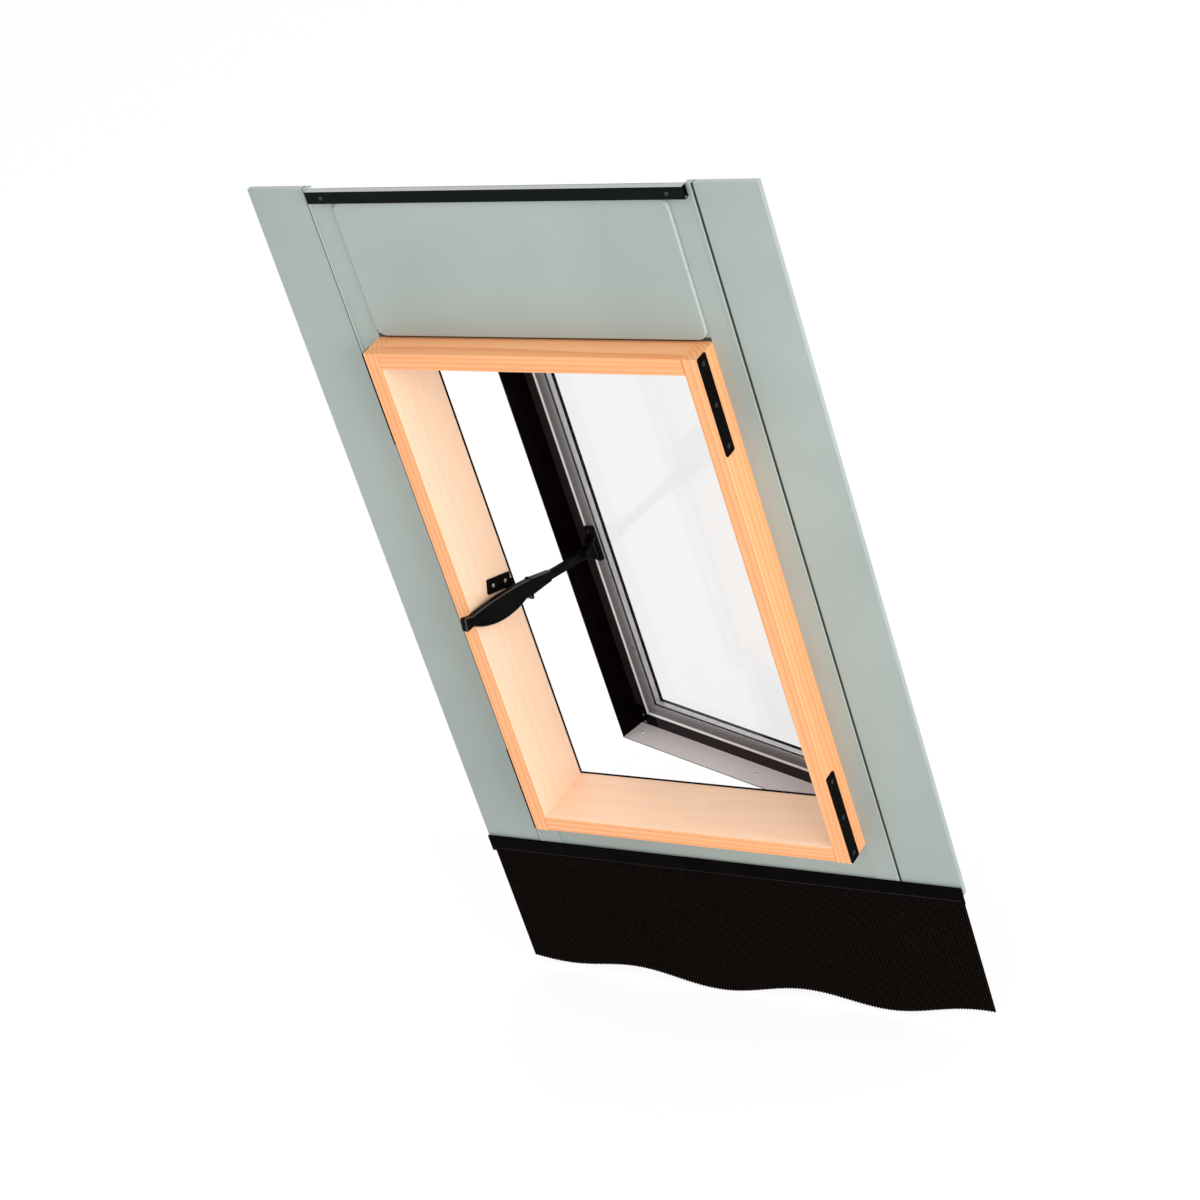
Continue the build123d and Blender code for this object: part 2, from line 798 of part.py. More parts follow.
def sash_leaf(level):
    with BuildPart() as leaf:
        with BuildSketch(opened(Plane.XY.offset(level - hinge_length / 2))):
            with Locations((sash_half_w + hinge_plate / 2, hinge_leaf_y + hinge_sash_leaf / 2)):
                Rectangle(hinge_plate, hinge_sash_leaf)
        extrude(amount=hinge_length)
        for start in (level - hinge_length / 2, level + hinge_knuckle / 2 + hinge_knuckle_gap):
            with BuildSketch(opened(Plane.XY.offset(start))):
                with Locations((hinge_x, hinge_y)):
                    Circle(hinge_barrel)
                with Locations((sash_half_w + hinge_plate / 2, hinge_leaf_y + hinge_barrel)):
                    Rectangle(hinge_plate, 2 * hinge_barrel)
                make_hull()
            extrude(amount=(hinge_length - hinge_knuckle) / 2 - hinge_knuckle_gap)
        with Locations(Plane(origin=(hinge_x, hinge_y, level + hinge_length / 2), z_dir=(0, 0, 1))):
            Hole(hinge_pin_radius + hinge_running, depth=hinge_length)
        with Locations(opened(rivet_face)):
            with Locations(*hinge_rivet_places):
                Hole(hinge_rivet_radius, depth=hinge_plate)
    return leaf


def hinge_pin(level):
    with BuildPart() as pin:
        with BuildSketch(Plane.XY.offset(level - hinge_length / 2 - hinge_knuckle_gap)):
            with Locations((hinge_x, hinge_y)):
                Circle(hinge_pin_radius)
        extrude(amount=hinge_length + 2 * hinge_knuckle_gap)
        for end in (1, -1):
            face = level + end * (hinge_length / 2 + hinge_knuckle_gap)
            with BuildSketch(Plane.XY.offset(face)):
                with Locations((hinge_x, hinge_y)):
                    Circle(hinge_head)
            extrude(amount=end * hinge_head_height)
    return pin


for level, name in zip(hinge_levels, ("top", "bottom")):
    save(frame_leaf(level).part, f"hinge_{name}_frame_leaf")
    save(sash_leaf(level).part, f"hinge_{name}_sash_leaf")
    save(hinge_pin(level).part, f"hinge_{name}_pin")

leaf_face = outer_face(1).offset(sheet + hinge_plate)
hinge_spots = spots_on(leaf_face, hinge_screw_places)
save(dome_screws(hinge_spots, small_screw_length).part, "hinge_screws")
rivet_spots = spots_on(opened(rivet_face), hinge_rivet_places)
save(dome_screws(rivet_spots, hinge_plate + wall, hinge_rivet_radius).part, "hinge_rivets")


# Stay: the closed place of its swivel pin, then the resting directions of knuckle and bar
swivel_closed = Plane(
    origin=(-sash_half_w + stay_inset, skirt_y + stay_depth, stay_level),
    z_dir=(0, 0, 1),
)
swivel = opened(swivel_closed).origin
yaw = radians(stay_yaw)
pitch_up = radians(stay_pitch)
level_axis = Vector(-sin(yaw), -cos(yaw), 0)
side_axis = Vector(-cos(yaw), sin(yaw), 0)
lift = swivel + level_axis * knuckle_reach
bar_axis = level_axis * cos(pitch_up) + Vector(0, 0, sin(pitch_up))
knuckle_plane = Plane(origin=lift, x_dir=level_axis, z_dir=side_axis)
stay_plane = Plane(origin=lift, x_dir=bar_axis, z_dir=side_axis)
ear_inner = knuckle_height / 2 + knuckle_gap
ear_outer = ear_inner + ear_thickness

# Bracket: a wedge seated on the bead with two ears that hold the swivel pin
with BuildPart() as stay_bracket:
    near = stay_inset - bracket_width
    far = bead_end - bracket_from_glass
    nose = bead_seat - bead_rise
    slope = bead_fall / (bead_end - bead_start - bead_nose)
    seat_near = nose + slope * (near - bead_start - bead_nose)
    seat_far = nose + slope * (far - bead_start - bead_nose)
    section = Plane(
        origin=(-sash_half_w, skirt_y, stay_level - bracket_height / 2),
        x_dir=(1, 0, 0),
        z_dir=(0, 0, 1),
    )
    with BuildSketch(opened(section)):
        with BuildLine():
            Polyline(
                (near, seat_near), (far, seat_far), (far, bracket_front), (near, bracket_front),
                close=True,
            )
        make_face()
    extrude(amount=bracket_height)
    for low in (stay_level - ear_outer, stay_level + ear_inner):
        ear = Plane(origin=(-sash_half_w, skirt_y, low), x_dir=(1, 0, 0), z_dir=(0, 0, 1))
        with BuildSketch(opened(ear)):
            with Locations((stay_inset, stay_depth)):
                Circle(ear_radius)
            with Locations(((near + far) / 2, bracket_front + bracket_plate / 2)):
                Rectangle(far - near, bracket_plate)
            make_hull()
        extrude(amount=ear_thickness)
    with Locations(Plane(origin=(swivel.X, swivel.Y, stay_level + ear_outer), z_dir=(0, 0, 1))):
        Hole(pivot_radius, depth=2 * ear_outer)
    with Locations(opened(bracket_face)):
        with Locations(*bracket_screw_places):
            Hole(small_screw_radius + screw_slack, depth=bracket_screw_length)
save(stay_bracket.part, "stay_bracket")

bracket_spots = spots_on(opened(bracket_face), bracket_screw_places)
save(dome_screws(bracket_spots, bracket_screw_length).part, "stay_bracket_screws")

with BuildPart() as swivel_pin:
    with BuildSketch(Plane(origin=(swivel.X, swivel.Y, stay_level - ear_outer), z_dir=(0, 0, 1))):
        Circle(pivot_radius)
    extrude(amount=2 * ear_outer)
    for end in (1, -1):
        with BuildSketch(Plane(origin=(swivel.X, swivel.Y, stay_level + end * ear_outer), z_dir=(0, 0, 1))):
            Circle(pivot_head)
        extrude(amount=end * pivot_head_height)
save(swivel_pin.part, "stay_swivel_pin")

# Knuckle: a barrel on the swivel pin with a clevis for the bar
bar_slot = stay_bar_thickness / 2 + cheek_gap
with BuildPart() as stay_knuckle:
    with BuildSketch(Plane(origin=(swivel.X, swivel.Y, stay_level - knuckle_height / 2), z_dir=(0, 0, 1))):
        Circle(ear_radius)
    extrude(amount=knuckle_height)
    for offset_side in (bar_slot, -bar_slot - cheek_thickness):
        with BuildSketch(knuckle_plane.offset(offset_side)):
            Circle(stay_bar_height / 2)
            with Locations((-knuckle_reach + ear_radius / 2, 0)):
                Rectangle(ear_radius, cheek_root)
            make_hull()
        extrude(amount=cheek_thickness)
    with Locations(Plane(origin=(swivel.X, swivel.Y, stay_level + knuckle_height / 2), z_dir=(0, 0, 1))):
        Hole(pivot_radius + pivot_running, depth=knuckle_height)
    with Locations(knuckle_plane.offset(bar_slot + cheek_thickness)):
        Hole(lift_pin_radius, depth=2 * (bar_slot + cheek_thickness))
save(stay_knuckle.part, "stay_knuckle")

with BuildPart() as lift_pin:
    reach = bar_slot + cheek_thickness
    with BuildSketch(knuckle_plane.offset(-reach)):
        Circle(lift_pin_radius)
    extrude(amount=2 * reach)
    for end in (1, -1):
        with BuildSketch(knuckle_plane.offset(end * reach)):
            Circle(lift_head)
        extrude(amount=end * lift_head_height)
save(lift_pin.part, "stay_lift_pin")

# Flat steel bar of the stay
with BuildPart() as stay_bar:
    with BuildSketch(stay_plane.offset(-stay_bar_thickness / 2)):
        Circle(stay_bar_height / 2)
        with Locations((stay_bar_end / 2, 0)):
            Rectangle(stay_bar_end, stay_bar_height)
    extrude(amount=stay_bar_thickness)
    with Locations(stay_plane.offset(stay_bar_thickness / 2)):
        Hole(lift_pin_radius + pivot_running, depth=stay_bar_thickness)
        with Locations(*[(place, 0) for place in rivet_places]):
            Hole(rivet_radius, depth=stay_bar_thickness)
save(stay_bar.part, "stay_bar")


# Moulded grip: its free side has a socket for the keeper peg at each latched opening
def socket_place(angle):
    """Distance from the lift pin to the peg along the bar when the sash stands at an angle."""
    rel_x = swivel_closed.origin.X - hinge_x
    rel_y = swivel_closed.origin.Y - hinge_y
    pin_y = hinge_y - rel_x * sin(radians(angle)) + rel_y * cos(radians(angle))
    heading = radians(stay_yaw + stay_follow * (angle - opening))
    return ((pin_y - peg_y) / cos(heading) - knuckle_reach) / cos(pitch_up)


with BuildPart() as stay_grip:
    neck = grip_neck / 2
    waist = butt_waist / 2
    flare = waist + butt_flare
    butt = grip_end - butt_length
    with BuildSketch(stay_plane.offset(-grip_thickness / 2)) as grip_outline:
        with BuildLine():
            Polyline(
                (spur_at, -spur_root), (grip_start, -neck), (grip_start, neck),
                (ridge_at - ridge_width, shoulder), (ridge_at - ridge_width / 2, shoulder + ridge_rise),
                (ridge_at, shoulder),
            )
            ThreePointArc((ridge_at, shoulder), (crown_at, crown), (butt, waist))
            Polyline((butt, waist), (grip_end, flare), (grip_end, -flare), (butt, -waist))
            ThreePointArc((butt, -waist), (belly_at, -belly), (belly_start, -spur_root))
            Polyline(
                (belly_start, -spur_root), (spur_at + 2 * spur_tip, -spur_root),
                (spur_at + spur_tip, -spur_root - spur_drop), (spur_at, -spur_root - spur_drop),
                (spur_at, -spur_root),
            )
        make_face()
        fillet(grip_outline.vertices().group_by(Axis.X)[-1], butt_corner)
    extrude(amount=grip_thickness)
    chamfer(stay_grip.faces().filter_by(stay_plane).edges(), grip_round)
    with BuildSketch(stay_plane.offset(-grip_thickness / 2)):
        offset(grip_outline.sketch, amount=-grip_rim)
    extrude(amount=rim_depth, mode=Mode.SUBTRACT)
    slot_start = grip_start - grip_round
    with BuildSketch(stay_plane.offset(-stay_bar_thickness / 2)):
        with Locations(((slot_start + stay_bar_end) / 2, 0)):
            Rectangle(stay_bar_end - slot_start, stay_bar_height)
    extrude(amount=stay_bar_thickness, mode=Mode.SUBTRACT)
    with Locations(stay_plane.offset(grip_thickness / 2)):
        with Locations(*[(socket_place(angle), 0) for angle in latch_angles]):
            Hole(socket_radius, depth=(grip_thickness - stay_bar_thickness) / 2)
        with Locations(*[(place, 0) for place in rivet_places]):
            Hole(rivet_radius, depth=grip_thickness)
save(stay_grip.part, "stay_grip")

with BuildPart() as grip_rivets:
    for place in rivet_places:
        with BuildSketch(Plane(
            origin=stay_plane.from_local_coords(Vector(place, 0, -grip_thickness / 2)),
            z_dir=side_axis,
        )):
            Circle(rivet_radius)
        extrude(amount=grip_thickness)
save(grip_rivets.part, "stay_grip_rivets")

# Keeper: a tipped plate with a lug below it that carries the peg
peg_distance = socket_place(opening)
peg_z = (lift + bar_axis * peg_distance).Z
peg_local = keeper.to_local_coords(Vector(-inner_w, peg_y, peg_z))
with BuildPart() as keeper_plate:
    with BuildSketch(keeper) as keeper_outline:
        Rectangle(keeper_length, keeper_height)
        fillet(keeper_outline.vertices(), keeper_corner)
        with Locations((peg_local.X, peg_local.Y)):
            Circle(lug_width / 2)
        with Locations((peg_local.X, peg_local.Y / 2)):
            Rectangle(lug_width, abs(peg_local.Y))
    extrude(amount=keeper_thickness)
    with Locations(keeper.offset(keeper_thickness)):
        with Locations(*keeper_screw_places):
            Hole(small_screw_radius + screw_slack, depth=keeper_thickness)
        with Locations((peg_local.X, peg_local.Y)):
            Hole(peg_shank_radius, depth=keeper_thickness)
save(keeper_plate.part, "keeper_plate")

with BuildPart() as keeper_peg:
    spot = keeper.from_local_coords(Vector(peg_local.X, peg_local.Y, 0))
    with BuildSketch(Plane(spot, z_dir=(1, 0, 0))):
        Circle(peg_shank_radius)
    extrude(amount=keeper_thickness)
    with BuildSketch(Plane(spot + Vector(keeper_thickness, 0, 0), z_dir=(1, 0, 0))):
        Circle(peg_radius)
    extrude(amount=peg_length)
    chamfer(keeper_peg.faces().sort_by(Axis.X)[-1].edges(), peg_ease)
save(keeper_peg.part, "keeper_peg")

keeper_spots = spots_on(keeper.offset(keeper_thickness), keeper_screw_places)
save(dome_screws(keeper_spots, small_screw_length).part, "keeper_screws")
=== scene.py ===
"""Finishes for a roof skylight: pine frame, coated flashing, pleated apron, dark sash, glass and stay.

Laid out as an add-on. Lengths are metres in the frame's own axes: X to the right seen from the room,
Y outward through the roof, Z up the slope.
"""
import json
import math

import bmesh
import bpy
from bpy.props import FloatProperty, FloatVectorProperty, IntProperty, PointerProperty
from mathutils import Matrix, Vector


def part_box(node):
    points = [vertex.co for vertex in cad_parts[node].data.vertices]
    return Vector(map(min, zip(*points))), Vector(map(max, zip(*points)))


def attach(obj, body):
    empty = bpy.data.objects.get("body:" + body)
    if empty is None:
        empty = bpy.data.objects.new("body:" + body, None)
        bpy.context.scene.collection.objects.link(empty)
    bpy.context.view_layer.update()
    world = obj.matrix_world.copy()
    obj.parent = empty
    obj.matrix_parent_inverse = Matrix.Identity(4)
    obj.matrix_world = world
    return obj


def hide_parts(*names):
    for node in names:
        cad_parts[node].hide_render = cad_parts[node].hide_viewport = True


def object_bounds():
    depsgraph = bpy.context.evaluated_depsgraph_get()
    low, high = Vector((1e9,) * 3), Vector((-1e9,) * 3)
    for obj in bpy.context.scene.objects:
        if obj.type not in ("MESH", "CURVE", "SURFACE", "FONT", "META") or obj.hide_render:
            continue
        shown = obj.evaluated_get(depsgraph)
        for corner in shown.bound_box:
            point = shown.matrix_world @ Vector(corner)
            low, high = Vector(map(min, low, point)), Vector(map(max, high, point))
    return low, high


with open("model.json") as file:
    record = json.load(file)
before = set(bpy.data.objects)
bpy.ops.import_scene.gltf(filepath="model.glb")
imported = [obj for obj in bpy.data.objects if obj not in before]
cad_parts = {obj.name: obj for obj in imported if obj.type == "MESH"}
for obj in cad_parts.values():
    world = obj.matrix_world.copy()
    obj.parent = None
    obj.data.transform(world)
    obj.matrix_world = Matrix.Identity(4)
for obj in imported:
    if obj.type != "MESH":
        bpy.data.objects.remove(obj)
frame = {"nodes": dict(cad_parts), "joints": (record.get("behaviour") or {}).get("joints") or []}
CAD_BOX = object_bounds()

bl_info = {
    "name": "Roof skylight finishes",
    "version": (1, 0, 0),
    "blender": (4, 5, 0),
    "location": "View3D > Sidebar > Skylight",
    "description": "Materials, pleats, stitches and screw heads for a roof skylight",
    "category": "Object",
}

UP = Vector((0, 0, 1))
TO_RIGHT = Vector((1, 0, 0))
INTO_ROOM = Vector((0, -1, 0))

SEAL_BASE = 0.012       # width of the frame seal's base on the timber
MASK_MARGIN = 0.0004    # how far a mask reaches past the faces that it picks out
PLEAT_COLUMNS = 6       # faces across one pleat

# A screw's head radius, shank radius, length, and the height of its head, which is 0 where it is sunk
STRAP_SCREW = (0.0034, 0.002, 0.020, 0.0)
FRAME_SCREW = (0.0042, 0.002, 0.060, 0.0)
CORNER_SCREW = (0.0024, 0.001, 0.0005, 0.0005)

# A lamp's name, place, size and power
LAMPS = (
    ("key_light", (1.4, -2.6, 4.2), 3.0, 34.0),
    ("fill_light", (3.6, -1.3, 1.2), 2.6, 92.0),
    ("rear_light", (-1.0, 3.0, 3.2), 3.0, 20.0),
)


# Nodes of the frame, by what they are made of
def node(name):
    return frame["nodes"][name]


def nodes_starting(*starts):
    return [frame["nodes"][name] for name in sorted(frame["nodes"]) if name.startswith(starts)]


def colour(name, description, default):
    return FloatVectorProperty(
        name=name, description=description, default=default, size=3, min=0.0, max=1.0, subtype="COLOR"
    )


def length(name, description, default):
    return FloatProperty(name=name, description=description, default=default, unit="LENGTH", precision=5)


def plain(name, description, default):
    return FloatProperty(name=name, description=description, default=default)


class TimberSettings(bpy.types.PropertyGroup):
    early: colour("Early wood", "Pale wood between the growth rings", (0.95, 0.47, 0.22))
    late: colour("Late wood", "Darker wood of the growth rings", (0.80, 0.28, 0.085))
    knot: colour("Knot", "Knots in the pine", (0.36, 0.13, 0.05))
    # Painted light: the faces inside the opening are paler in colour, to stand for the light that falls on
    # them.
    painted_light_inside: colour("Fresh face", "Paler planed faces inside the opening", (1.0, 0.80, 0.61))
    painted_light_share: plain("Fresh share", "How strongly the faces inside the opening are paler", 0.66)
    ring_scale: plain("Rings", "Growth rings across a metre", 42.0)
    coat: plain("Coat", "Clear coat on the planed wood", 0.10)
    lip: length("Lip", "How far the seal's lip laps over the inner edge", 0.0026)
    lip_skin: length("Lip skin", "Thickness of the seal's lip", 0.0008)


class SheetSettings(bpy.types.PropertyGroup):
    paint: colour("Flashing paint", "Sage grey coating of the flashing", (0.375, 0.432, 0.403))
    # Painted highlight: a pale line along the strips' folded edges and on the head cover's slopes, as if lit.
    highlighted: colour("Worn edge", "Paler coating along the folded edges", (0.54, 0.61, 0.57))
    highlighted_share: plain("Worn share", "How strongly the slopes of the head cover are worn", 0.3)
    # Painted shade: a dark line in the seams beside the strips and in the gap under the head cover stands for
    # the shadow there.
    seam: colour("Seam", "Dark joint beside the strips and under the head cover", (0.035, 0.045, 0.038))
    seam_shade_width: length("Seam width", "Width of the dark joint", 0.0020)
    shade_under_cover: length("Under the cover", "How far the joint shows below the head cover", 0.006)
    bar: colour("Sealing bar", "Black bar at the head", (0.006, 0.008, 0.008))
    # Painted highlight on the bar's top face.
    bar_top_highlight: colour("Bar top", "Worn top face of the bar", (0.42, 0.43, 0.43))


class ApronSettings(bpy.types.PropertyGroup):
    pitch: length("Pleat pitch", "Distance from fold to fold", 0.0047)
    depth: length("Pleat depth", "Depth of a pleat", 0.0026)
    skin: length("Skin", "Thickness of the pleated foil", 0.0004)
    drop: length("Drop", "Mean length of the apron below its binding", 0.222)
    wave: length("Wave", "Height of the cut's waves", 0.009)
    sag: length("Sag", "How much longer the middle is", 0.012)
    period: length("Period", "Length of one wave of the cut", 0.285)
    low_place: length("Low place", "Where the cut's lowest wave lies", -0.060)
    billow: length("Billow", "How far the hanging apron bows", 0.003)
    rows: IntProperty(name="Rows", description="Rows of faces down the apron", default=14, min=2)
    stitch_pitch: length("Stitch pitch", "Distance between stitches in the binding", 0.0050)
    stitch_length: length("Stitch", "Length of one stitch", 0.0032)
    stitch_inset: length("Stitch inset", "Stitch line from the binding's lower edge", 0.005)
    thread_radius: length("Thread radius", "Half the width of the sewing thread", 0.0004)
    foil: colour("Pleats", "Black pleated foil", (0.0010, 0.0003, 0.0003))
    # Partly dust and wear, partly painted light: the crests are paler than the shaded folds between them.
    crest_dust_and_light: colour("Crests", "Paler brown crests of the pleats", (0.019, 0.010, 0.006))
    cloth: colour("Binding", "Woven binding strip", (0.001, 0.0006, 0.0006))
    thread: colour("Thread", "Stitches in the binding", (0.080, 0.050, 0.042))


class SashSettings(bpy.types.PropertyGroup):
    coat: colour("Sash", "Dark brown coating of the sash", (0.003, 0.001, 0.001))
    flange: colour("Flange", "Faces of the sash that look into the room", (0.030, 0.020, 0.022))
    bare: colour("Bare inside", "Uncoated metal inside the lower rail", (0.80, 0.75, 0.76))
    wall: length("Rail wall", "Thickness of the lower rail's wall", 0.0020)
    bead: colour("Bead", "Sloping face of the glazing beads", (0.17, 0.155, 0.16))
    # Painted light: the paler slope by the glass is painted sheen.
    bead_sheen: colour("Bead inner edge", "Paler slope of the beads by the glass", (0.42, 0.39, 0.40))
    paling_start: length("Paling start", "Where the beads get paler, from their outer edge", 0.010)
    paling_width: length("Paling width", "Over what width the beads get paler", 0.020)
    # Painted highlight along the beads' nose.
    bead_nose_highlight: colour("Bead nose", "Bright nose of the beads", (0.92, 0.88, 0.89))
    nose_width: length("Nose", "Width of the beads' bright nose", 0.0040)
    nose_lead: length("Nose lead", "How far the bright nose begins before its highest point", 0.001)
    plate: colour("Corner plate", "Moulded corner plates", (0.002, 0.002, 0.002))
    rubber: colour("Rubber", "Seals and gaskets", (0.003, 0.002, 0.003))
    glass: colour("Glass", "Tint of the panes", (0.945, 0.945, 0.945))
    glass_index: plain("Glass index", "Low index that keeps the panes near-clear", 1.14)
    spacer: colour("Spacer", "Metal bar between the panes", (0.74, 0.74, 0.75))


class FittingSettings(bpy.types.PropertyGroup):
    strap: colour("Strap", "Coated mounting straps", (0.0015, 0.0015, 0.0015))
    steel: colour("Plated steel", "Hinges and their rivets", (0.50, 0.50, 0.48))
    bright: colour("Bright screw", "Zinc plated screw heads", (0.60, 0.57, 0.50))
    dark: colour("Dark screw", "Blackened screw heads", (0.014, 0.013, 0.013))
    stay: colour("Stay", "Coated bar, bracket and keeper", (0.002, 0.0015, 0.0015))
    grip: colour("Grip", "Moulded grip", (0.001, 0.001, 0.001))
    # Painted highlight along the grip's chamfered edges.
    grip_edge_highlight: colour("Polished edge", "Edges of the grip that hands have polished", (0.060, 0.056, 0.060))


class StageSettings(bpy.types.PropertyGroup):
    camera_place: FloatVectorProperty(
        name="Camera", description="Where the camera stands", default=(2.585, -3.194, 2.387), subtype="XYZ"
    )
    camera_right: FloatVectorProperty(
        name="Right", description="The picture's right", default=(0.8333, 0.4779, -0.2780), subtype="XYZ"
    )
    camera_back: FloatVectorProperty(
        name="Back", description="Away from the view", default=(0.5502, -0.6674, 0.5018), subtype="XYZ"
    )
    lens: plain("Lens", "Focal length in millimetres on a 36 mm sensor", 101.9)
    floor_gap: length("Floor gap", "Space between the apron and the floor", 0.004)
    floor: colour("Floor", "Pale floor", (0.86, 0.86, 0.86))
    floor_shade: plain("Floor shade", "Share of the light that the floor shows, and so its shadow", 0.15)
    floor_glow: plain("Floor glow", "What lifts the seen floor to the white of the background", 0.85)
    sky: plain("Sky", "Strength of the soft light from all round", 0.90)


# Small tools for node trees
def make(tree, kind, inputs=None, **settings):
    """Add a node, set its settings, and feed its inputs with values or with other nodes' sockets."""
    made = tree.nodes.new(kind)
    for key, value in settings.items():
        setattr(made, key, value)
    for key, value in (inputs or {}).items():
        socket = made.inputs[key]
        if isinstance(value, bpy.types.NodeSocket):
            tree.links.new(value, socket)
        else:
            socket.default_value = value
    return made


def maths(tree, operation, *values):
    return make(tree, "ShaderNodeMath", dict(enumerate(values)), operation=operation).outputs[0]


def times(tree, first, second):
    return maths(tree, "MULTIPLY", first, second)


def plus(tree, first, second):
    return maths(tree, "ADD", first, second)


def vector_maths(tree, operation, inputs):
    return make(tree, "ShaderNodeVectorMath", inputs, operation=operation).outputs[0]


def blend_colours(tree, factor, first, second):
    return make(tree, "ShaderNodeMix", {0: factor, 6: first, 7: second}, data_type="RGBA").outputs[2]


def ramp(tree, factor, low, high, low_value=0.0, high_value=1.0):
    """A smooth step from low_value to high_value."""
    stepper = make(
        tree,
        "ShaderNodeMapRange",
        {"Value": factor, "From Min": low, "From Max": high, "To Min": low_value, "To Max": high_value},
        interpolation_type="SMOOTHSTEP",
    )
    return stepper.outputs["Result"]


def noise(tree, vector, scale, detail, output="Fac", **inputs):
    """Soft clouds, as a value or as a colour."""
    clouds = {"Vector": vector, "Scale": scale, "Detail": detail, **inputs}
    return make(tree, "ShaderNodeTexNoise", clouds).outputs[output]


def drawn_out(tree, vector, share):
    """The vector with its Z shrunk to a share, so that what it places is drawn out along Z."""
    return make(tree, "ShaderNodeMapping", {"Vector": vector, "Scale": (1.0, 1.0, share)}).outputs[0]


def seen_ray(tree):
    """1 for rays from the camera, also mirrored or through glass, and 0 for the rays that light things."""
    rays = make(tree, "ShaderNodeLightPath").outputs
    seen = maths(tree, "MAXIMUM", rays["Is Camera Ray"], rays["Is Glossy Ray"])
    return maths(tree, "MAXIMUM", seen, rays["Is Transmission Ray"])


def new_group(name, kind, inputs, outputs):
    """Start a node group with named sockets; returns it, the sockets to take from and those to feed."""
    group = bpy.data.node_groups.new(name, kind)
    for label, socket_kind, default in inputs:
        socket = group.interface.new_socket(label, in_out="INPUT", socket_type="NodeSocket" + socket_kind)
        if default is not None:
            socket.default_value = default
    for label, socket_kind in outputs:
        group.interface.new_socket(label, in_out="OUTPUT", socket_type="NodeSocket" + socket_kind)
    return group, make(group, "NodeGroupInput").outputs, make(group, "NodeGroupOutput").inputs


def rgba(values):
    return (values[0], values[1], values[2], 1.0)


def grain_group():
    """Pine with its grain along Z: growth rings round a pith outside the board, fibres, a few knots."""
    if "pine_grain" in bpy.data.node_groups:
        return bpy.data.node_groups["pine_grain"]
    group, given, out = new_group(
        "pine_grain",
        "ShaderNodeTree",
        [
            ("Vector", "Vector", None),
            ("Early", "Color", (0.9, 0.7, 0.5, 1.0)),
            ("Late", "Color", (0.7, 0.4, 0.2, 1.0)),
            ("Knot", "Color", (0.3, 0.1, 0.05, 1.0)),
            ("Rings", "Float", 42.0),
        ],
        [("Color", "Color"), ("Height", "Float"), ("Gloss", "Float")],
    )
    # The pith drifts slowly along the board
    stretched = drawn_out(group, given["Vector"], 0.055)
    drift = noise(group, stretched, 9.0, 2.0, "Color")
    offset = vector_maths(group, "SUBTRACT", {0: drift, 1: (0.5, 0.5, 0.5)})
    pushed = vector_maths(group, "SCALE", {0: offset, "Scale": 0.055})
    moved = vector_maths(group, "ADD", {0: stretched, 1: pushed})
    # A few of the cells hold a knot, with a dark core and rings that bend round it
    spots = drawn_out(group, given["Vector"], 0.42)
    cells = make(group, "ShaderNodeTexVoronoi", {"Vector": spots, "Scale": 7.5, "Randomness": 1.0}).outputs
    lot = make(group, "ShaderNodeSeparateColor", {0: cells["Color"]}).outputs[0]
    chosen = ramp(group, lot, 0.66, 0.7)
    near = times(group, ramp(group, cells["Distance"], 0.20, 0.02), chosen)
    core = times(group, ramp(group, cells["Distance"], 0.085, 0.05), chosen)
    bend = make(group, "ShaderNodeCombineXYZ", {0: times(group, near, 0.03)}).outputs[0]
    around = vector_maths(group, "ADD", {0: moved, 1: bend})
    rings = make(
        group,
        "ShaderNodeTexWave",
        {"Vector": around, "Scale": given["Rings"], "Distortion": 0.6, "Detail": 2.0, "Detail Scale": 1.5},
        wave_type="RINGS",
        rings_direction="Z",
        wave_profile="SAW",
    ).outputs["Fac"]
    band = maths(group, "POWER", rings, 2.2)
    # Fine fibres, and broad streaks of darker wood
    fine = drawn_out(group, given["Vector"], 0.022)
    fibres = noise(group, fine, 900.0, 3.0)
    broad = noise(group, fine, 60.0, 2.0)
    tone = blend_colours(group, times(group, band, 0.85), given["Early"], given["Late"])
    tone = blend_colours(group, ramp(group, broad, 0.35, 0.75, 0.0, 0.40), tone, given["Late"])
    tone = blend_colours(group, ramp(group, fibres, 0.45, 0.8, 0.0, 0.26), tone, given["Late"])
    tone = blend_colours(group, times(group, core, 0.8), tone, given["Knot"])
    group.links.new(tone, out["Color"])
    group.links.new(plus(group, times(group, fibres, 0.6), band), out["Height"])
    group.links.new(ramp(group, fibres, 0.2, 0.8, 0.40, 0.58), out["Gloss"])
    return group


def wear_group():
    """Uneven gloss, faint dust and the fine skin of a coating or moulding."""
    if "surface_wear" in bpy.data.node_groups:
        return bpy.data.node_groups["surface_wear"]
    group, given, out = new_group(
        "surface_wear",
        "ShaderNodeTree",
        [
            ("Vector", "Vector", None),
            ("Grain", "Float", 900.0),
            ("Patch", "Float", 14.0),
            ("Smooth", "Float", 0.35),
            ("Rough", "Float", 0.5),
        ],
        [("Height", "Float"), ("Gloss", "Float"), ("Dust", "Float")],
    )
    skin = noise(group, given["Vector"], given["Grain"], 2.0)
    patches = noise(group, given["Vector"], given["Patch"], 5.0, Roughness=0.6)
    limits = {"From Min": 0.3, "From Max": 0.7, "To Min": given["Smooth"], "To Max": given["Rough"]}
    gloss = make(group, "ShaderNodeMapRange", {"Value": patches, **limits}).outputs["Result"]
    speck_scale = times(group, given["Patch"], 12.0)
    specks = make(group, "ShaderNodeTexVoronoi", {"Vector": given["Vector"], "Scale": speck_scale})
    speck = ramp(group, specks.outputs["Distance"], 0.09, 0.03)
    group.links.new(skin, out["Height"])
    group.links.new(gloss, out["Gloss"])
    group.links.new(times(group, speck, ramp(group, patches, 0.45, 0.65)), out["Dust"])
    return group


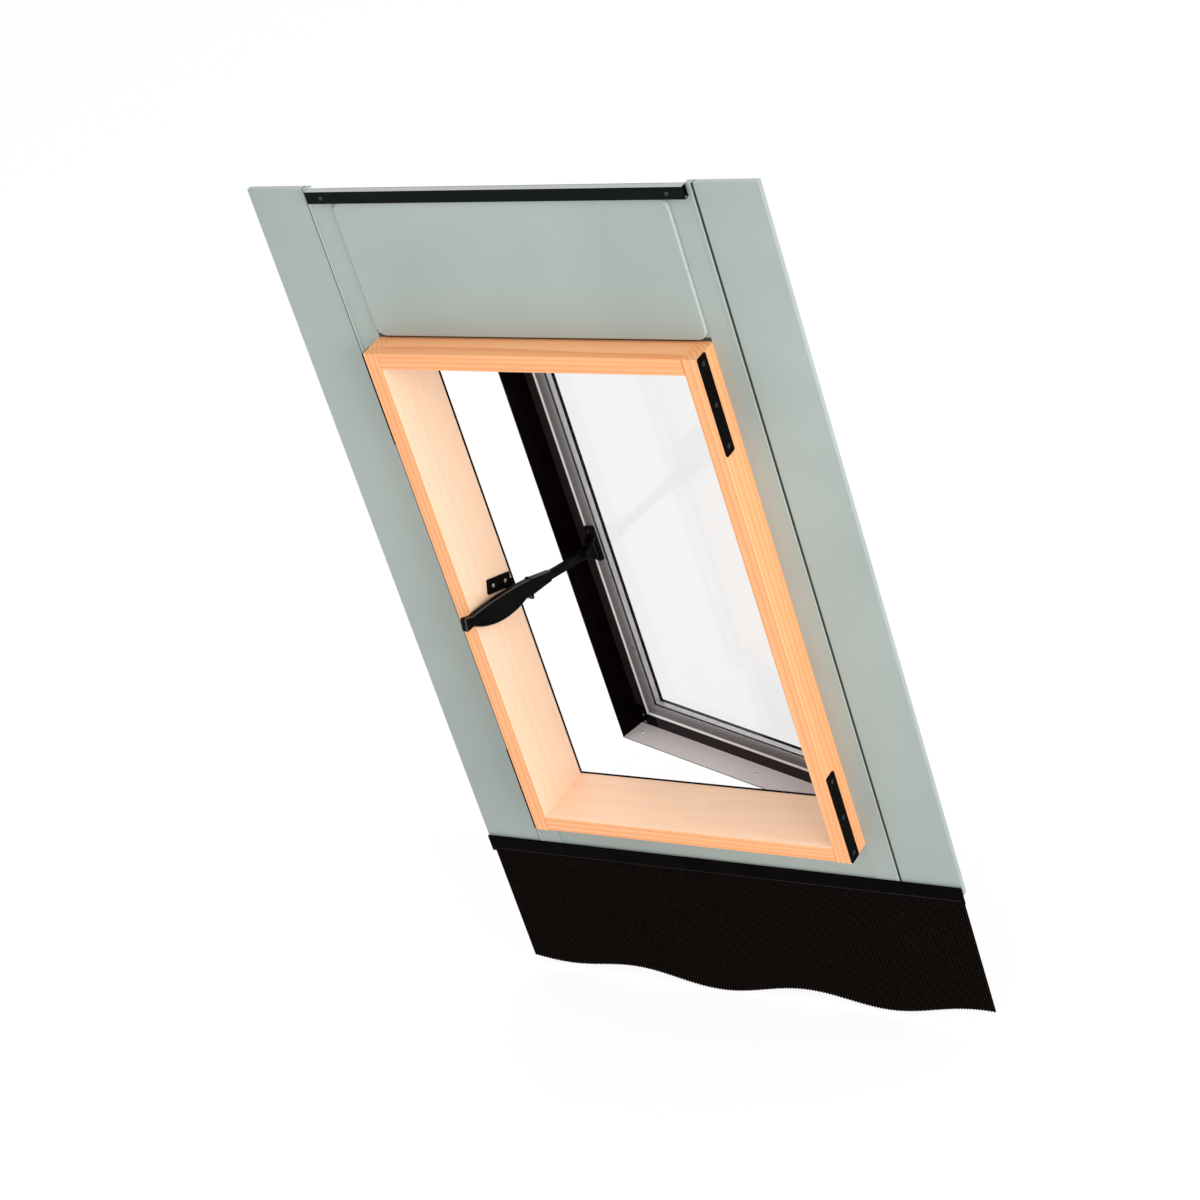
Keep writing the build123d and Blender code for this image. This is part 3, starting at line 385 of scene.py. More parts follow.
class Finish:
    """A material with its Principled shader and object coordinates."""

    def __init__(self, name, **shader):
        self.material = bpy.data.materials.new(name)
        self.material.use_nodes = True
        self.tree = self.material.node_tree
        self.shader = next(n for n in self.tree.nodes if n.type == "BSDF_PRINCIPLED")
        for key, value in shader.items():
            self.shader.inputs[key.replace("_", " ")].default_value = value
        self.place = self.add("ShaderNodeTexCoord").outputs["Object"]

    def add(self, kind, inputs=None, **settings):
        return make(self.tree, kind, inputs, **settings)

    def maths(self, operation, *values):
        return maths(self.tree, operation, *values)

    def feed(self, socket, value):
        if isinstance(value, bpy.types.NodeSocket):
            self.tree.links.new(value, self.shader.inputs[socket])
        else:
            self.shader.inputs[socket].default_value = value

    def group(self, group, inputs):
        return self.add("ShaderNodeGroup", inputs, node_tree=group).outputs

    def split(self, vector):
        """The X, Y and Z of a vector."""
        return self.add("ShaderNodeSeparateXYZ", {0: vector}).outputs

    def from_middle(self):
        """How far a point lies to the left or right of the skylight's middle."""
        return self.maths("ABSOLUTE", self.split(self.place)["X"])

    def repaint(self, mask, paint):
        """Lay another colour over the present one where the mask is 1."""
        before = self.shader.inputs["Base Color"].links[0].from_socket
        self.feed("Base Color", blend_colours(self.tree, mask, before, rgba(paint)))

    def within(self, value, low, high):
        """1 where a value lies between two limits, else 0."""
        above = self.maths("GREATER_THAN", value, low)
        return times(self.tree, above, self.maths("LESS_THAN", value, high))

    def facing(self, direction):
        """How squarely the surface looks in a direction, from -1 to 1."""
        normal = self.add("ShaderNodeTexCoord").outputs["Normal"]
        compared = self.add("ShaderNodeVectorMath", {0: normal, 1: direction}, operation="DOT_PRODUCT")
        return compared.outputs["Value"]

    def looks(self, direction, least):
        """1 where the surface looks in a direction more squarely than the least, else 0."""
        return self.maths("GREATER_THAN", self.facing(direction), least)

    def bump(self, height, strength, distance):
        bumped = self.add("ShaderNodeBump", {"Strength": strength, "Distance": distance, "Height": height})
        self.feed("Normal", bumped.outputs[0])


def coated(name, paint, smooth, rough, grain=900.0, patch=14.0, dent=0.15, dust=0.25, **shader):
    """A painted, plated or moulded finish with uneven gloss, a fine skin and a trace of dust."""
    finish = Finish(name, **shader)
    tree = finish.tree
    wear = finish.group(
        wear_group(),
        {"Vector": finish.place, "Grain": grain, "Patch": patch, "Smooth": smooth, "Rough": rough},
    )
    pale = tuple(min(1.0, value * 1.2 + 0.03) for value in paint)
    shade = tuple(value * 0.86 for value in paint)
    cloud = ramp(tree, noise(tree, finish.place, patch * 0.4, 3.0), 0.35, 0.65)
    finish.feed("Base Color", blend_colours(tree, cloud, rgba(paint), rgba(shade)))
    finish.repaint(times(tree, wear["Dust"], dust), pale)
    finish.feed("Roughness", wear["Gloss"])
    finish.bump(wear["Height"], dent, 0.0002)
    return finish


def black(name, paint, smooth, rough, shine=0.03, **options):
    """A deep black finish: its weak reflections keep it dark in the bright surroundings."""
    return coated(name, paint, smooth, rough, Specular_IOR_Level=shine, **options)


def dress(objects, finish):
    for item in objects:
        item.data.materials.clear()
        item.data.materials.append(finish.material)


# Small tools for meshes
def placed(name, data):
    """Add an object with this data to the scene."""
    made = bpy.data.objects.new(name, data)
    bpy.context.scene.collection.objects.link(made)
    return made


def bridge(shape, first, second):
    """Close the band between two rings that have as many points."""
    for i in range(len(first)):
        after = (i + 1) % len(first)
        shape.faces.new((first[i], second[i], second[after], first[after]))


def solid(name, shape):
    """Make a closed shape an object whose faces point outwards."""
    bmesh.ops.recalc_face_normals(shape, faces=shape.faces)
    mesh = bpy.data.meshes.new(name)
    shape.to_mesh(mesh)
    shape.free()
    return placed(name, mesh)


# Timber
def opening_half():
    """Half the width and half the height of the opening between the boards."""
    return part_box("frame_right_jamb")[0][0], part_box("frame_head")[0][2]


def pine(name, settings, turn, pith):
    """Pine with its grain along the board, and painted light: the faces inside the opening are paler."""
    finish = Finish(name, Coat_Weight=settings.coat, Coat_Roughness=0.35)
    seat = finish.add("ShaderNodeMapping", {"Vector": finish.place, "Location": pith, "Rotation": turn})
    grain = finish.group(
        grain_group(),
        {
            "Vector": seat.outputs[0],
            "Early": rgba(settings.early),
            "Late": rgba(settings.late),
            "Knot": rgba(settings.knot),
            "Rings": settings.ring_scale,
        },
    )
    half_width, half_height = (half + MASK_MARGIN for half in opening_half())
    spot = finish.split(finish.place)
    inside = times(
        finish.tree,
        finish.within(spot["X"], -half_width, half_width),
        finish.within(spot["Z"], -half_height, half_height),
    )
    finish.feed("Base Color", grain["Color"])
    # Painted light: the faces inside the opening are made paler.
    finish.repaint(times(finish.tree, inside, settings.painted_light_share), settings.painted_light_inside)
    finish.feed("Roughness", grain["Gloss"])
    finish.bump(grain["Height"], 0.25, 0.0003)
    return finish


def seal_lip(settings):
    """The rubber lip that laps over the outer inside edge of the boards: one bent strip, mitred round."""
    half_width, half_height = opening_half()
    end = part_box("frame_head")[1][1]
    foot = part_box("frame_seal")[1][0] - SEAL_BASE - half_width
    skin = settings.lip_skin
    section = [
        (-skin, end - settings.lip), (0.0, end - settings.lip), (0.0, end),
        (foot, end), (foot, end + skin), (-skin, end + skin),
    ]
    shape = bmesh.new()
    rings = []
    for side, level in ((-1, -1), (1, -1), (1, 1), (-1, 1)):
        rings.append([
            shape.verts.new((side * (half_width + out), y, level * (half_height + out))) for out, y in section
        ])
    for ring, after in zip(rings, rings[1:] + rings[:1]):
        bridge(shape, ring, after)
    return solid("seal_lip", shape)


class SKYLIGHT_OT_timber(bpy.types.Operator):
    """Give the four boards their pine, with the grain along each board, and fit the seal's lip"""

    bl_idname = "skylight.timber"
    bl_label = "Timber"

    def execute(self, context):
        settings = context.scene.skylight_timber
        upright = (0.0, 0.0, 0.0)
        across = (0.0, math.radians(90), 0.0)
        boards = {
            "frame_left_jamb": (upright, (0.36, 0.11, 0.3)),
            "frame_right_jamb": (upright, (-0.17, 0.13, 0.9)),
            "frame_head": (across, (0.46, 0.12, 0.2)),
            "frame_sill": (across, (-0.36, 0.14, 0.6)),
        }
        for name, (turn, pith) in boards.items():
            dress([node(name)], pine(f"pine_{name}", settings, turn, pith))
        lip = seal_lip(settings)
        paint = context.scene.skylight_sash.rubber
        dress([lip], black("lip_rubber", paint, 0.5, 0.7, grain=1500.0, patch=40.0))
        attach(lip, "frame")
        return {"FINISHED"}


# Flashing
class SKYLIGHT_OT_flashing(bpy.types.Operator):
    """Paint the flashing sheets and the sealing bar"""

    bl_idname = "skylight.flashing"
    bl_label = "Flashing"

    def execute(self, context):
        settings = context.scene.skylight_sheet
        width = settings.seam_shade_width
        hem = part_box("flashing_right_strip")[1][0]
        dress(nodes_starting("flashing_"), self.paint("sage_coating", settings))

        beside = self.paint("sage_coating_sides", settings)
        # Painted shade in the joint beside the strip's hem.
        beside.repaint(beside.within(beside.from_middle(), hem, hem + width), settings.seam)
        dress([node("flashing_left_sheet"), node("flashing_right_sheet")], beside)

        folded = self.paint("sage_coating_strips", settings)
        across = folded.from_middle()
        # Painted highlight along the strip's folded edge.
        folded.repaint(folded.within(across, hem - width, hem - width / 2), settings.highlighted)
        # Painted shade in the joint beside the hem.
        folded.repaint(folded.within(across, hem - width / 2, hem + width), settings.seam)
        dress([node("flashing_left_strip"), node("flashing_right_strip")], folded)

        pressed = self.paint("sage_coating_cover", settings)
        # Painted highlight on the head cover's sloping faces.
        sloping = pressed.maths("LESS_THAN", pressed.facing(INTO_ROOM), 0.92)
        pressed.repaint(times(pressed.tree, sloping, settings.highlighted_share), settings.highlighted)
        dress([node("flashing_head_cover")], pressed)

        under = self.paint("sage_coating_head", settings)
        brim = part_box("flashing_head_cover")[0][2]
        height = under.split(under.place)["Z"]
        # Painted shadow in the gap below the head cover.
        under.repaint(under.within(height, brim - settings.shade_under_cover, brim + width), settings.seam)
        dress([node("flashing_head_sheet")], under)

        bar = black("bar_plastic", settings.bar, 0.4, 0.6, grain=700.0, patch=20.0)
        # Painted highlight on the faces that look up.
        bar.repaint(bar.looks(UP, 0.6), settings.bar_top_highlight)
        dress([node("head_bar")], bar)
        return {"FINISHED"}

    def paint(self, name, settings):
        return coated(name, settings.paint, 0.40, 0.52, grain=1400.0, patch=5.0, dent=0.05, dust=0.1)


# Geometry node trees
def new_tree(name, inputs):
    """Start a geometry tree with the named inputs besides its Geometry input and output."""
    geometry = ("Geometry", "Geometry")
    return new_group(name, "GeometryNodeTree", [geometry + (None,)] + inputs, [geometry])


def hand_over(tree, geometry, given, out):
    """Make the geometry real, give it its material and put it out."""
    whole = make(tree, "GeometryNodeRealizeInstances", {0: geometry}).outputs[0]
    painted = make(tree, "GeometryNodeSetMaterial", {"Geometry": whole, "Material": given["Material"]})
    tree.links.new(painted.outputs[0], out["Geometry"])


def grown(name, base, tree, values):
    """Run a geometry tree on a base mesh and return the result as a plain mesh object."""
    carrier = placed(name + "_base", base)
    modifier = carrier.modifiers.new("grow", "NODES")
    modifier.node_group = tree
    sockets = {item.name: item.identifier for item in tree.interface.items_tree if item.in_out == "INPUT"}
    for label, value in values.items():
        modifier[sockets[label]] = value
    context = bpy.context
    context.view_layer.update()
    mesh = bpy.data.meshes.new_from_object(carrier.evaluated_get(context.evaluated_depsgraph_get()))
    mesh.name = name
    bpy.data.objects.remove(carrier)
    return placed(name, mesh)


def apron_tree():
    """A grid is folded into pleats, bowed, and stretched down to a wavy cut."""
    tree, given, out = new_tree(
        "pleated_apron",
        [
            ("Width", "Float", 0.8),
            ("Columns", "Int", 100),
            ("Rows", "Int", 10),
            ("Top", "Float", 0.0),
            ("Back", "Float", 0.0),
            ("Pitch", "Float", 0.0035),
            ("Depth", "Float", 0.003),
            ("Drop", "Float", 0.2),
            ("Wave", "Float", 0.01),
            ("Sag", "Float", 0.01),
            ("Period", "Float", 0.28),
            ("Low Place", "Float", 0.0),
            ("Billow", "Float", 0.003),
            ("Material", "Material", None),
        ],
    )

    def whole_turns(distance, period):
        """An angle that runs through a full turn in each period."""
        return times(tree, maths(tree, "DIVIDE", distance, period), 2 * math.pi)

    position = make(tree, "GeometryNodeInputPosition").outputs[0]
    spot = make(tree, "ShaderNodeSeparateXYZ", {0: position}).outputs
    along = spot["X"]
    down = plus(tree, spot["Y"], 0.5)

    # Pleats: a zigzag whose folds are a little rounded
    sharpness = 0.93
    spread = 0.32
    swing = maths(tree, "COSINE", whole_turns(along, given["Pitch"]))
    fold = times(tree, maths(tree, "ARCSINE", times(tree, swing, sharpness)), spread)
    pleat = times(tree, plus(tree, fold, 0.5), given["Depth"])

    # Bow: long waves that grow towards the cut
    bow_turns = 0.7
    swing = maths(tree, "SINE", times(tree, whole_turns(along, given["Period"]), bow_turns))
    bow = times(tree, times(tree, swing, given["Billow"]), maths(tree, "POWER", down, 2.0))
    outward = plus(tree, plus(tree, given["Back"], pleat), bow)

    # Cut: waves, and a longer middle
    shifted = maths(tree, "SUBTRACT", along, given["Low Place"])
    waves = times(tree, maths(tree, "COSINE", whole_turns(shifted, given["Period"])), given["Wave"])
    middle = times(tree, maths(tree, "DIVIDE", along, given["Width"]), math.pi)
    longer = times(tree, maths(tree, "COSINE", middle), given["Sag"])
    reach = plus(tree, plus(tree, given["Drop"], waves), longer)
    height = maths(tree, "SUBTRACT", given["Top"], times(tree, down, reach))

    counts = {"Vertices X": given["Columns"], "Vertices Y": given["Rows"]}
    grid = make(tree, "GeometryNodeMeshGrid", {"Size X": given["Width"], "Size Y": 1.0, **counts}).outputs[0]
    place = make(tree, "ShaderNodeCombineXYZ", {0: along, 1: outward, 2: height}).outputs[0]
    shaped = make(tree, "GeometryNodeSetPosition", {"Geometry": grid, "Position": place}).outputs[0]
    hand_over(tree, shaped, given, out)
    return tree


def repeat_tree(name):
    """Put one shape on every point of a mesh, turned so that its Z looks along the point's facing."""
    tree, given, out = new_tree(
        name,
        [
            ("Shape", "Object", None),
            ("Unevenness", "Float", 0.0),
            ("Seed", "Int", 7),
            ("Material", "Material", None),
        ],
    )
    shape = make(tree, "GeometryNodeObjectInfo", {"Object": given["Shape"]}).outputs["Geometry"]
    facing = make(tree, "GeometryNodeInputNamedAttribute", {"Name": "facing"}, data_type="FLOAT_VECTOR")
    aligned = make(tree, "FunctionNodeAlignRotationToVector", {"Vector": facing.outputs[0]}, axis="Z")
    most = given["Unevenness"]
    chance = make(
        tree,
        "FunctionNodeRandomValue",
        {2: times(tree, most, -1.0), 3: most, "Seed": given["Seed"]},
        data_type="FLOAT",
    ).outputs[1]
    spin = make(tree, "FunctionNodeAxisAngleToRotation", {"Axis": UP, "Angle": chance})
    turned = make(
        tree,
        "FunctionNodeRotateRotation",
        {0: aligned.outputs[0], 1: spin.outputs[0]},
        rotation_space="LOCAL",
    ).outputs[0]
    spread = {"Points": given["Geometry"], "Instance": shape, "Rotation": turned}
    hand_over(tree, make(tree, "GeometryNodeInstanceOnPoints", spread).outputs[0], given, out)
    return tree


def points_mesh(name, spots):
    """A mesh of single points, each with the direction that it faces."""
    mesh = bpy.data.meshes.new(name)
    mesh.from_pydata([place for place, facing in spots], [], [])
    facing = mesh.attributes.new("facing", "FLOAT_VECTOR", "POINT")
    for item, (place, direction) in zip(facing.data, spots):
        item.vector = direction
    return mesh


def repeated(name, spots, shape, finish, unevenness):
    """Put a shape on every spot, each turned at random by up to the unevenness, and drop the shape."""
    values = {"Shape": shape, "Unevenness": unevenness, "Material": finish.material}
    made = grown(name, points_mesh(name + "_points", spots), repeat_tree(name + "_tree"), values)
    bpy.data.objects.remove(shape)
    return made


# Apron
class SKYLIGHT_OT_apron(bpy.types.Operator):
    """Fold the pleated apron and sew its binding"""

    bl_idname = "skylight.apron"
    bl_label = "Apron"

    def execute(self, context):
        settings = context.scene.skylight_apron
        low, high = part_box("apron_pleats")
        pleats = int((high[0] - low[0]) / settings.pitch)
        values = {
            "Width": pleats * settings.pitch,
            "Columns": pleats * PLEAT_COLUMNS + 1,
            "Rows": settings.rows,
            "Top": high[2],
            "Back": low[1],
            "Pitch": settings.pitch,
            "Depth": settings.depth,
            "Drop": settings.drop,
            "Wave": settings.wave,
            "Sag": settings.sag,
            "Period": settings.period,
            "Low Place": settings.low_place,
            "Billow": settings.billow,
            "Material": self.foil(settings).material,
        }
        apron = grown("apron", bpy.data.meshes.new("apron_seed"), apron_tree(), values)
        wall = apron.modifiers.new("skin", "SOLIDIFY")
        wall.thickness = settings.skin
        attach(apron, "frame")
        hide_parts("apron_pleats")

        cloth = black("binding_cloth", settings.cloth, 0.6, 0.8, grain=2200.0, patch=20.0, dent=0.5, dust=0.2)
        dress([node("apron_binding")], cloth)
        low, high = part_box("apron_binding")
        level = low[2] + settings.stitch_inset
        count = int((high[0] - low[0] - settings.stitch_pitch) / settings.stitch_pitch)
        start = -(count - 1) / 2 * settings.stitch_pitch
        spots = [((start + i * settings.stitch_pitch, low[1], level), INTO_ROOM) for i in range(count)]
        thread = black("thread", settings.thread, 0.7, 0.85, grain=3000.0, patch=60.0)
        stitch = self.stitch(settings.stitch_length, settings.thread_radius)
        line = repeated("binding_stitches", spots, stitch, thread, unevenness=0.08)
        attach(line, "frame")
        return {"FINISHED"}

    def foil(self, settings):
        """Black foil whose crests towards the room are brown and broken by fine dashes. The brown is partly
        dust and wear and partly painted light, paler crests against the shade in the folds.
        """
        finish = black("pleated_foil", settings.foil, 0.5, 0.68, grain=1600.0, patch=9.0, dust=0.1)
        tree = finish.tree
        along = finish.maths("DIVIDE", finish.split(finish.place)["X"], settings.pitch)
        # Crests of the pleats: partly dust and wear, partly painted light against the shade of the folds.
        crest_dust_and_light = ramp(tree, finish.maths("COSINE", times(tree, along, 2 * math.pi)), -0.55, -1.0)
        dashes = ramp(tree, noise(tree, finish.place, 260.0, 2.0), 0.35, 0.6, 0.35, 1.0)
        finish.repaint(times(tree, crest_dust_and_light, dashes), settings.crest_dust_and_light)
        return finish

    def stitch(self, reach, radius):
        """One stitch: a thread that rises from its hole and dips into the next."""
        sides = 6
        steps = 5
        rise = radius * 2.0
        dip = radius * 0.8
        flattened = radius * 0.6
        turns = [2 * math.pi * side / sides for side in range(sides)]
        shape = bmesh.new()
        rings = []
        for step in range(steps + 1):
            share = step / steps
            x = (share - 0.5) * reach
            lift = rise * math.sin(math.pi * share) - dip
            rings.append([
                shape.verts.new((x, radius * math.cos(turn), lift + flattened * math.sin(turn)))
                for turn in turns
            ])
        for first, second in zip(rings, rings[1:]):
            bridge(shape, first, second)
        shape.faces.new(rings[0])
        shape.faces.new(reversed(rings[-1]))
        return solid("stitch", shape)


# Screws
def islands(name):
    """The separate solids of a CAD node, as lists of points, in the order of the node's own points."""
    copy = bmesh.new()
    copy.from_mesh(node(name).data)
    bmesh.ops.remove_doubles(copy, verts=copy.verts, dist=1e-6)
    found = []
    waiting = set(copy.verts)
    for start in copy.verts:
        if start not in waiting:
            continue
        waiting.remove(start)
        group = [start]
        queue = [start]
        while queue:
            for edge in queue.pop().link_edges:
                for vertex in edge.verts:
                    if vertex in waiting:
                        waiting.remove(vertex)
                        group.append(vertex)
                        queue.append(vertex)
        found.append([vertex.co.copy() for vertex in group])
    copy.free()
    return found


def head_spots(name, direction):
    """Where each screw of a CAD node has its head's outer face, and which way it looks.

    Without a direction, each screw looks sideways, away from the skylight's middle.
    """
    spots = []
    for points in islands(name):
        middle = sum(points, Vector()) / len(points)
        facing = Vector((math.copysign(1.0, middle.x), 0, 0)) if direction is None else direction
        top = max(point.dot(facing) for point in points)
        axis = middle - facing * middle.dot(facing)
        spots.append((axis + facing * top, facing))
    return spots


def domed_screw(reach):
    return (0.003, 0.0015, reach, 0.0014)


def screw_shape(name, head_radius, shank_radius, reach, head_height):
    """One screw with a cross recess: Z is outward and the head's outer face is at z = 0."""
    segments = 20
    rim = 0.0003
    if head_height:
        profile = [
            (head_radius * 0.62, 0.0), (head_radius * 0.86, -head_height * 0.22),
            (head_radius, -head_height * 0.6), (head_radius, -head_height), (shank_radius, -head_height),
        ]
    else:
        profile = [(head_radius, 0.0), (head_radius, -rim), (shank_radius, -(head_radius - shank_radius))]
    profile.append((shank_radius, -reach))
    turns = [2 * math.pi * step / segments for step in range(segments)]
    shape = bmesh.new()
    rings = []
    for radius, level in profile:
        rings.append([
            shape.verts.new((radius * math.cos(turn), radius * math.sin(turn), level)) for turn in turns
        ])
    for upper, lower in zip(rings, rings[1:]):
        bridge(shape, upper, lower)
    shape.faces.new(reversed(rings[-1]))

    # The cross recess, narrower at its floor
    slot = head_radius * 0.50
    arm = head_radius * 0.11
    deep = head_radius * 0.35
    taper = 0.6
    cross = [
        (slot, arm), (arm, arm), (arm, slot), (-arm, slot), (-arm, arm), (-slot, arm),
        (-slot, -arm), (-arm, -arm), (-arm, -slot), (arm, -slot), (arm, -arm), (slot, -arm),
    ]
    mouth = [shape.verts.new((x, y, 0.0)) for x, y in cross]
    floor = [shape.verts.new((x * taper, y * taper, -deep)) for x, y in cross]
    edges = [shape.edges.new((mouth[i], mouth[(i + 1) % len(mouth)])) for i in range(len(mouth))]
    outer = [shape.edges.get((rings[0][i], rings[0][(i + 1) % segments])) for i in range(segments)]
    bmesh.ops.triangle_fill(shape, use_beauty=True, edges=edges + outer)
    bridge(shape, mouth, floor)
    shape.faces.new(floor)
    return solid(name, shape)


def joint_named(name):
    return next(joint for joint in frame["joints"] if joint["name"] == name)


def sash_swing():
    """How far the sash stands open at rest, from its hinge's lower limit."""
    return -math.radians(min(joint_named("sash_hinge")["range_deg"]))


def to_room():
    """The way in which the open sash's inner side looks."""
    return Vector((-math.sin(sash_swing()), -math.cos(sash_swing()), 0.0))


class SKYLIGHT_OT_screws(bpy.types.Operator):
    """Set the screws with their cross recesses"""

    bl_idname = "skylight.screws"
    bl_label = "Screws"

    def execute(self, context):
        settings = context.scene.skylight_fittings
        bright = coated("zinc_plate", settings.bright, 0.25, 0.42, grain=600.0, patch=120.0, Metallic=1.0)
        dark = coated("dark_screw", settings.dark, 0.3, 0.45, grain=600.0, patch=120.0)
        jobs = (
            ("strap_screws", "frame", None, STRAP_SCREW, dark, "zinc_steel"),
            ("frame_screws", "frame", None, FRAME_SCREW, bright, "zinc_steel"),
            ("head_bar_screws", "frame", INTO_ROOM, domed_screw(0.0114), dark, "dark_screw"),
            ("keeper_screws", "frame", TO_RIGHT, domed_screw(0.0134), bright, "zinc_steel"),
            ("hinge_screws", "frame", TO_RIGHT, domed_screw(0.0134), bright, "zinc_steel"),
            ("stay_bracket_screws", "sash", to_room(), domed_screw(0.0094), dark, "zinc_steel"),
            ("corner_plate_screws", "sash", to_room(), CORNER_SCREW, bright, "dark_screw"),
        )
        for name, body, facing, sizes, finish, slot in jobs:
            shape = screw_shape(name + "_one", *sizes)
            made = repeated(name + "_set", head_spots(name, facing), shape, finish, unevenness=1.2)
            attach(made, body)
            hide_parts(name)
        return {"FINISHED"}


# Sash
def sash_half_width():
    """Half the sash's width, read from its left stile with the sash swung shut."""
    hinge = Vector(joint_named("sash_hinge")["pos_m"])
    shut = Matrix.Rotation(sash_swing(), 3, "Z")
    return -min((shut @ (vertex.co - hinge) + hinge).x for vertex in node("sash_left_stile").data.vertices)


class SKYLIGHT_OT_sash(bpy.types.Operator):
    """Finish the sash, its beads, seals and glass"""

    bl_idname = "skylight.sash"
    bl_label = "Sash"

    def execute(self, context):
        settings = context.scene.skylight_sash
        dress(nodes_starting("sash_"), self.rail("sash_coating", settings))
        dress([node("sash_bottom_rail")], self.lower_rail(settings))
        dress(nodes_starting("bead_"), self.bead(settings))
        plate = black("corner_moulding", settings.plate, 0.22, 0.4, grain=800.0, patch=30.0)
        dress(nodes_starting("corner_plate_bottom", "corner_plate_top"), plate)
        rubber = black("rubber_seal", settings.rubber, 0.5, 0.7, grain=1500.0, patch=40.0, dust=0.3)
        dress([node("frame_seal"), node("gasket_inner"), node("gasket_outer")], rubber)
        spacer = coated("spacer_metal", settings.spacer, 0.3, 0.45, grain=500.0, patch=60.0, Metallic=0.3)
        dress([node("glass_spacer")], spacer)
        dress([node("glass_inner_pane"), node("glass_outer_pane")], self.glass(settings))
        return {"FINISHED"}

    def rail(self, name, settings):
        """Near-black coating, a little browner on the faces that look into the room."""
        finish = black(name, settings.coat, 0.32, 0.46, grain=1300.0, patch=9.0, dent=0.12, dust=0.1)
        finish.repaint(finish.looks(to_room(), 0.7), settings.flange)
        return finish

    def lower_rail(self, settings):
        """The rail's skirt is bare metal on its inner face, and coated elsewhere."""
        finish = self.rail("lower_rail", settings)
        skirt_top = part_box("sash_bottom_rail")[0][2] + settings.wall
        low_part = finish.maths("LESS_THAN", finish.split(finish.place)["Z"], skirt_top)
        finish.repaint(times(finish.tree, low_part, finish.looks(UP, 0.5)), settings.bare)
        return finish

    def bead(self, settings):
        """A painted highlight on the nose, then painted sheen that makes the slope paler towards the glass,
        seen on the shut sash.
        """
        finish = coated("bead_metal", settings.bead, 0.25, 0.4, grain=1100.0, patch=12.0, Metallic=0.25)
        shut = finish.add(
            "ShaderNodeVectorRotate",
            {"Vector": finish.place, "Center": joint_named("sash_hinge")["pos_m"], "Angle": sash_swing()},
            rotation_type="Z_AXIS",
        ).outputs[0]
        spot = finish.split(shut)
        half_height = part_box("sash_top_rail")[1][2]
        from_side = finish.maths("SUBTRACT", sash_half_width(), finish.maths("ABSOLUTE", spot["X"]))
        from_end = finish.maths("SUBTRACT", half_height, finish.maths("ABSOLUTE", spot["Z"]))
        from_edge = finish.maths("MINIMUM", from_side, from_end)
        bead_edge = half_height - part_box("bead_top")[1][2]
        paling = bead_edge + settings.paling_start
        slope = ramp(finish.tree, from_edge, paling, paling + settings.paling_width)
        # Painted sheen: the slope gets paler towards the glass.
        finish.repaint(slope, settings.bead_sheen)
        nose = bead_edge + self.nose_inset()
        # Painted highlight along the nose.
        bright = finish.within(from_edge, nose - settings.nose_lead, nose + settings.nose_width)
        finish.repaint(bright, settings.bead_nose_highlight)
        return finish

    def nose_inset(self):
        """How far the nose, the bead's point nearest the room, lies inside the bead's outer edge."""
        as_near = 0.0002
        points = [vertex.co for vertex in node("bead_top").data.vertices]
        nearest = max(point.dot(to_room()) for point in points)
        nose = max(point.z for point in points if point.dot(to_room()) > nearest - as_near)
        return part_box("bead_top")[1][2] - nose

    def glass(self, settings):
        """Near-clear glass with faint smears."""
        finish = Finish("pane_glass", Roughness=0.0, IOR=settings.glass_index, Transmission_Weight=1.0)
        smear = ramp(finish.tree, noise(finish.tree, finish.place, 3.0, 4.0), 0.4, 0.7, 0.0, 0.5)
        smeared = rgba([value * 0.985 for value in settings.glass])
        finish.feed("Base Color", blend_colours(finish.tree, smear, rgba(settings.glass), smeared))
        return finish


# Fittings
class SKYLIGHT_OT_fittings(bpy.types.Operator):
    """Finish the straps, hinges, stay and keeper"""

    bl_idname = "skylight.fittings"
    bl_label = "Fittings"

    def execute(self, context):
        settings = context.scene.skylight_fittings
        strap = black("strap_coating", settings.strap, 0.35, 0.5, grain=700.0, patch=18.0)
        dress(nodes_starting("strap_left", "strap_right"), strap)
        steel = coated("plated_steel", settings.steel, 0.28, 0.42, grain=800.0, patch=40.0, Metallic=1.0)
        dress(nodes_starting("hinge_top", "hinge_bottom", "hinge_rivets"), steel)
        stay = black("stay_coating", settings.stay, 0.3, 0.5, shine=0.05, grain=900.0, patch=40.0)
        names = (
            "stay_bar", "stay_bracket", "stay_knuckle", "stay_swivel_pin", "stay_lift_pin",
            "stay_grip_rivets", "keeper_plate", "keeper_peg",
        )
        dress([node(name) for name in names], stay)
        moulding = {"shine": 0.05, "grain": 1200.0, "patch": 30.0, "dent": 0.3}
        grip = black("grip_moulding", settings.grip, 0.30, 0.48, **moulding)
        flatness = grip.maths("ABSOLUTE", grip.facing(joint_named("stay_lift")["axis"]))
        # Painted highlight on the chamfers between the grip's flat faces and its sides.
        grip.repaint(grip.within(flatness, 0.45, 0.88), settings.grip_edge_highlight)
        dress([node("stay_grip")], grip)
        return {"FINISHED"}


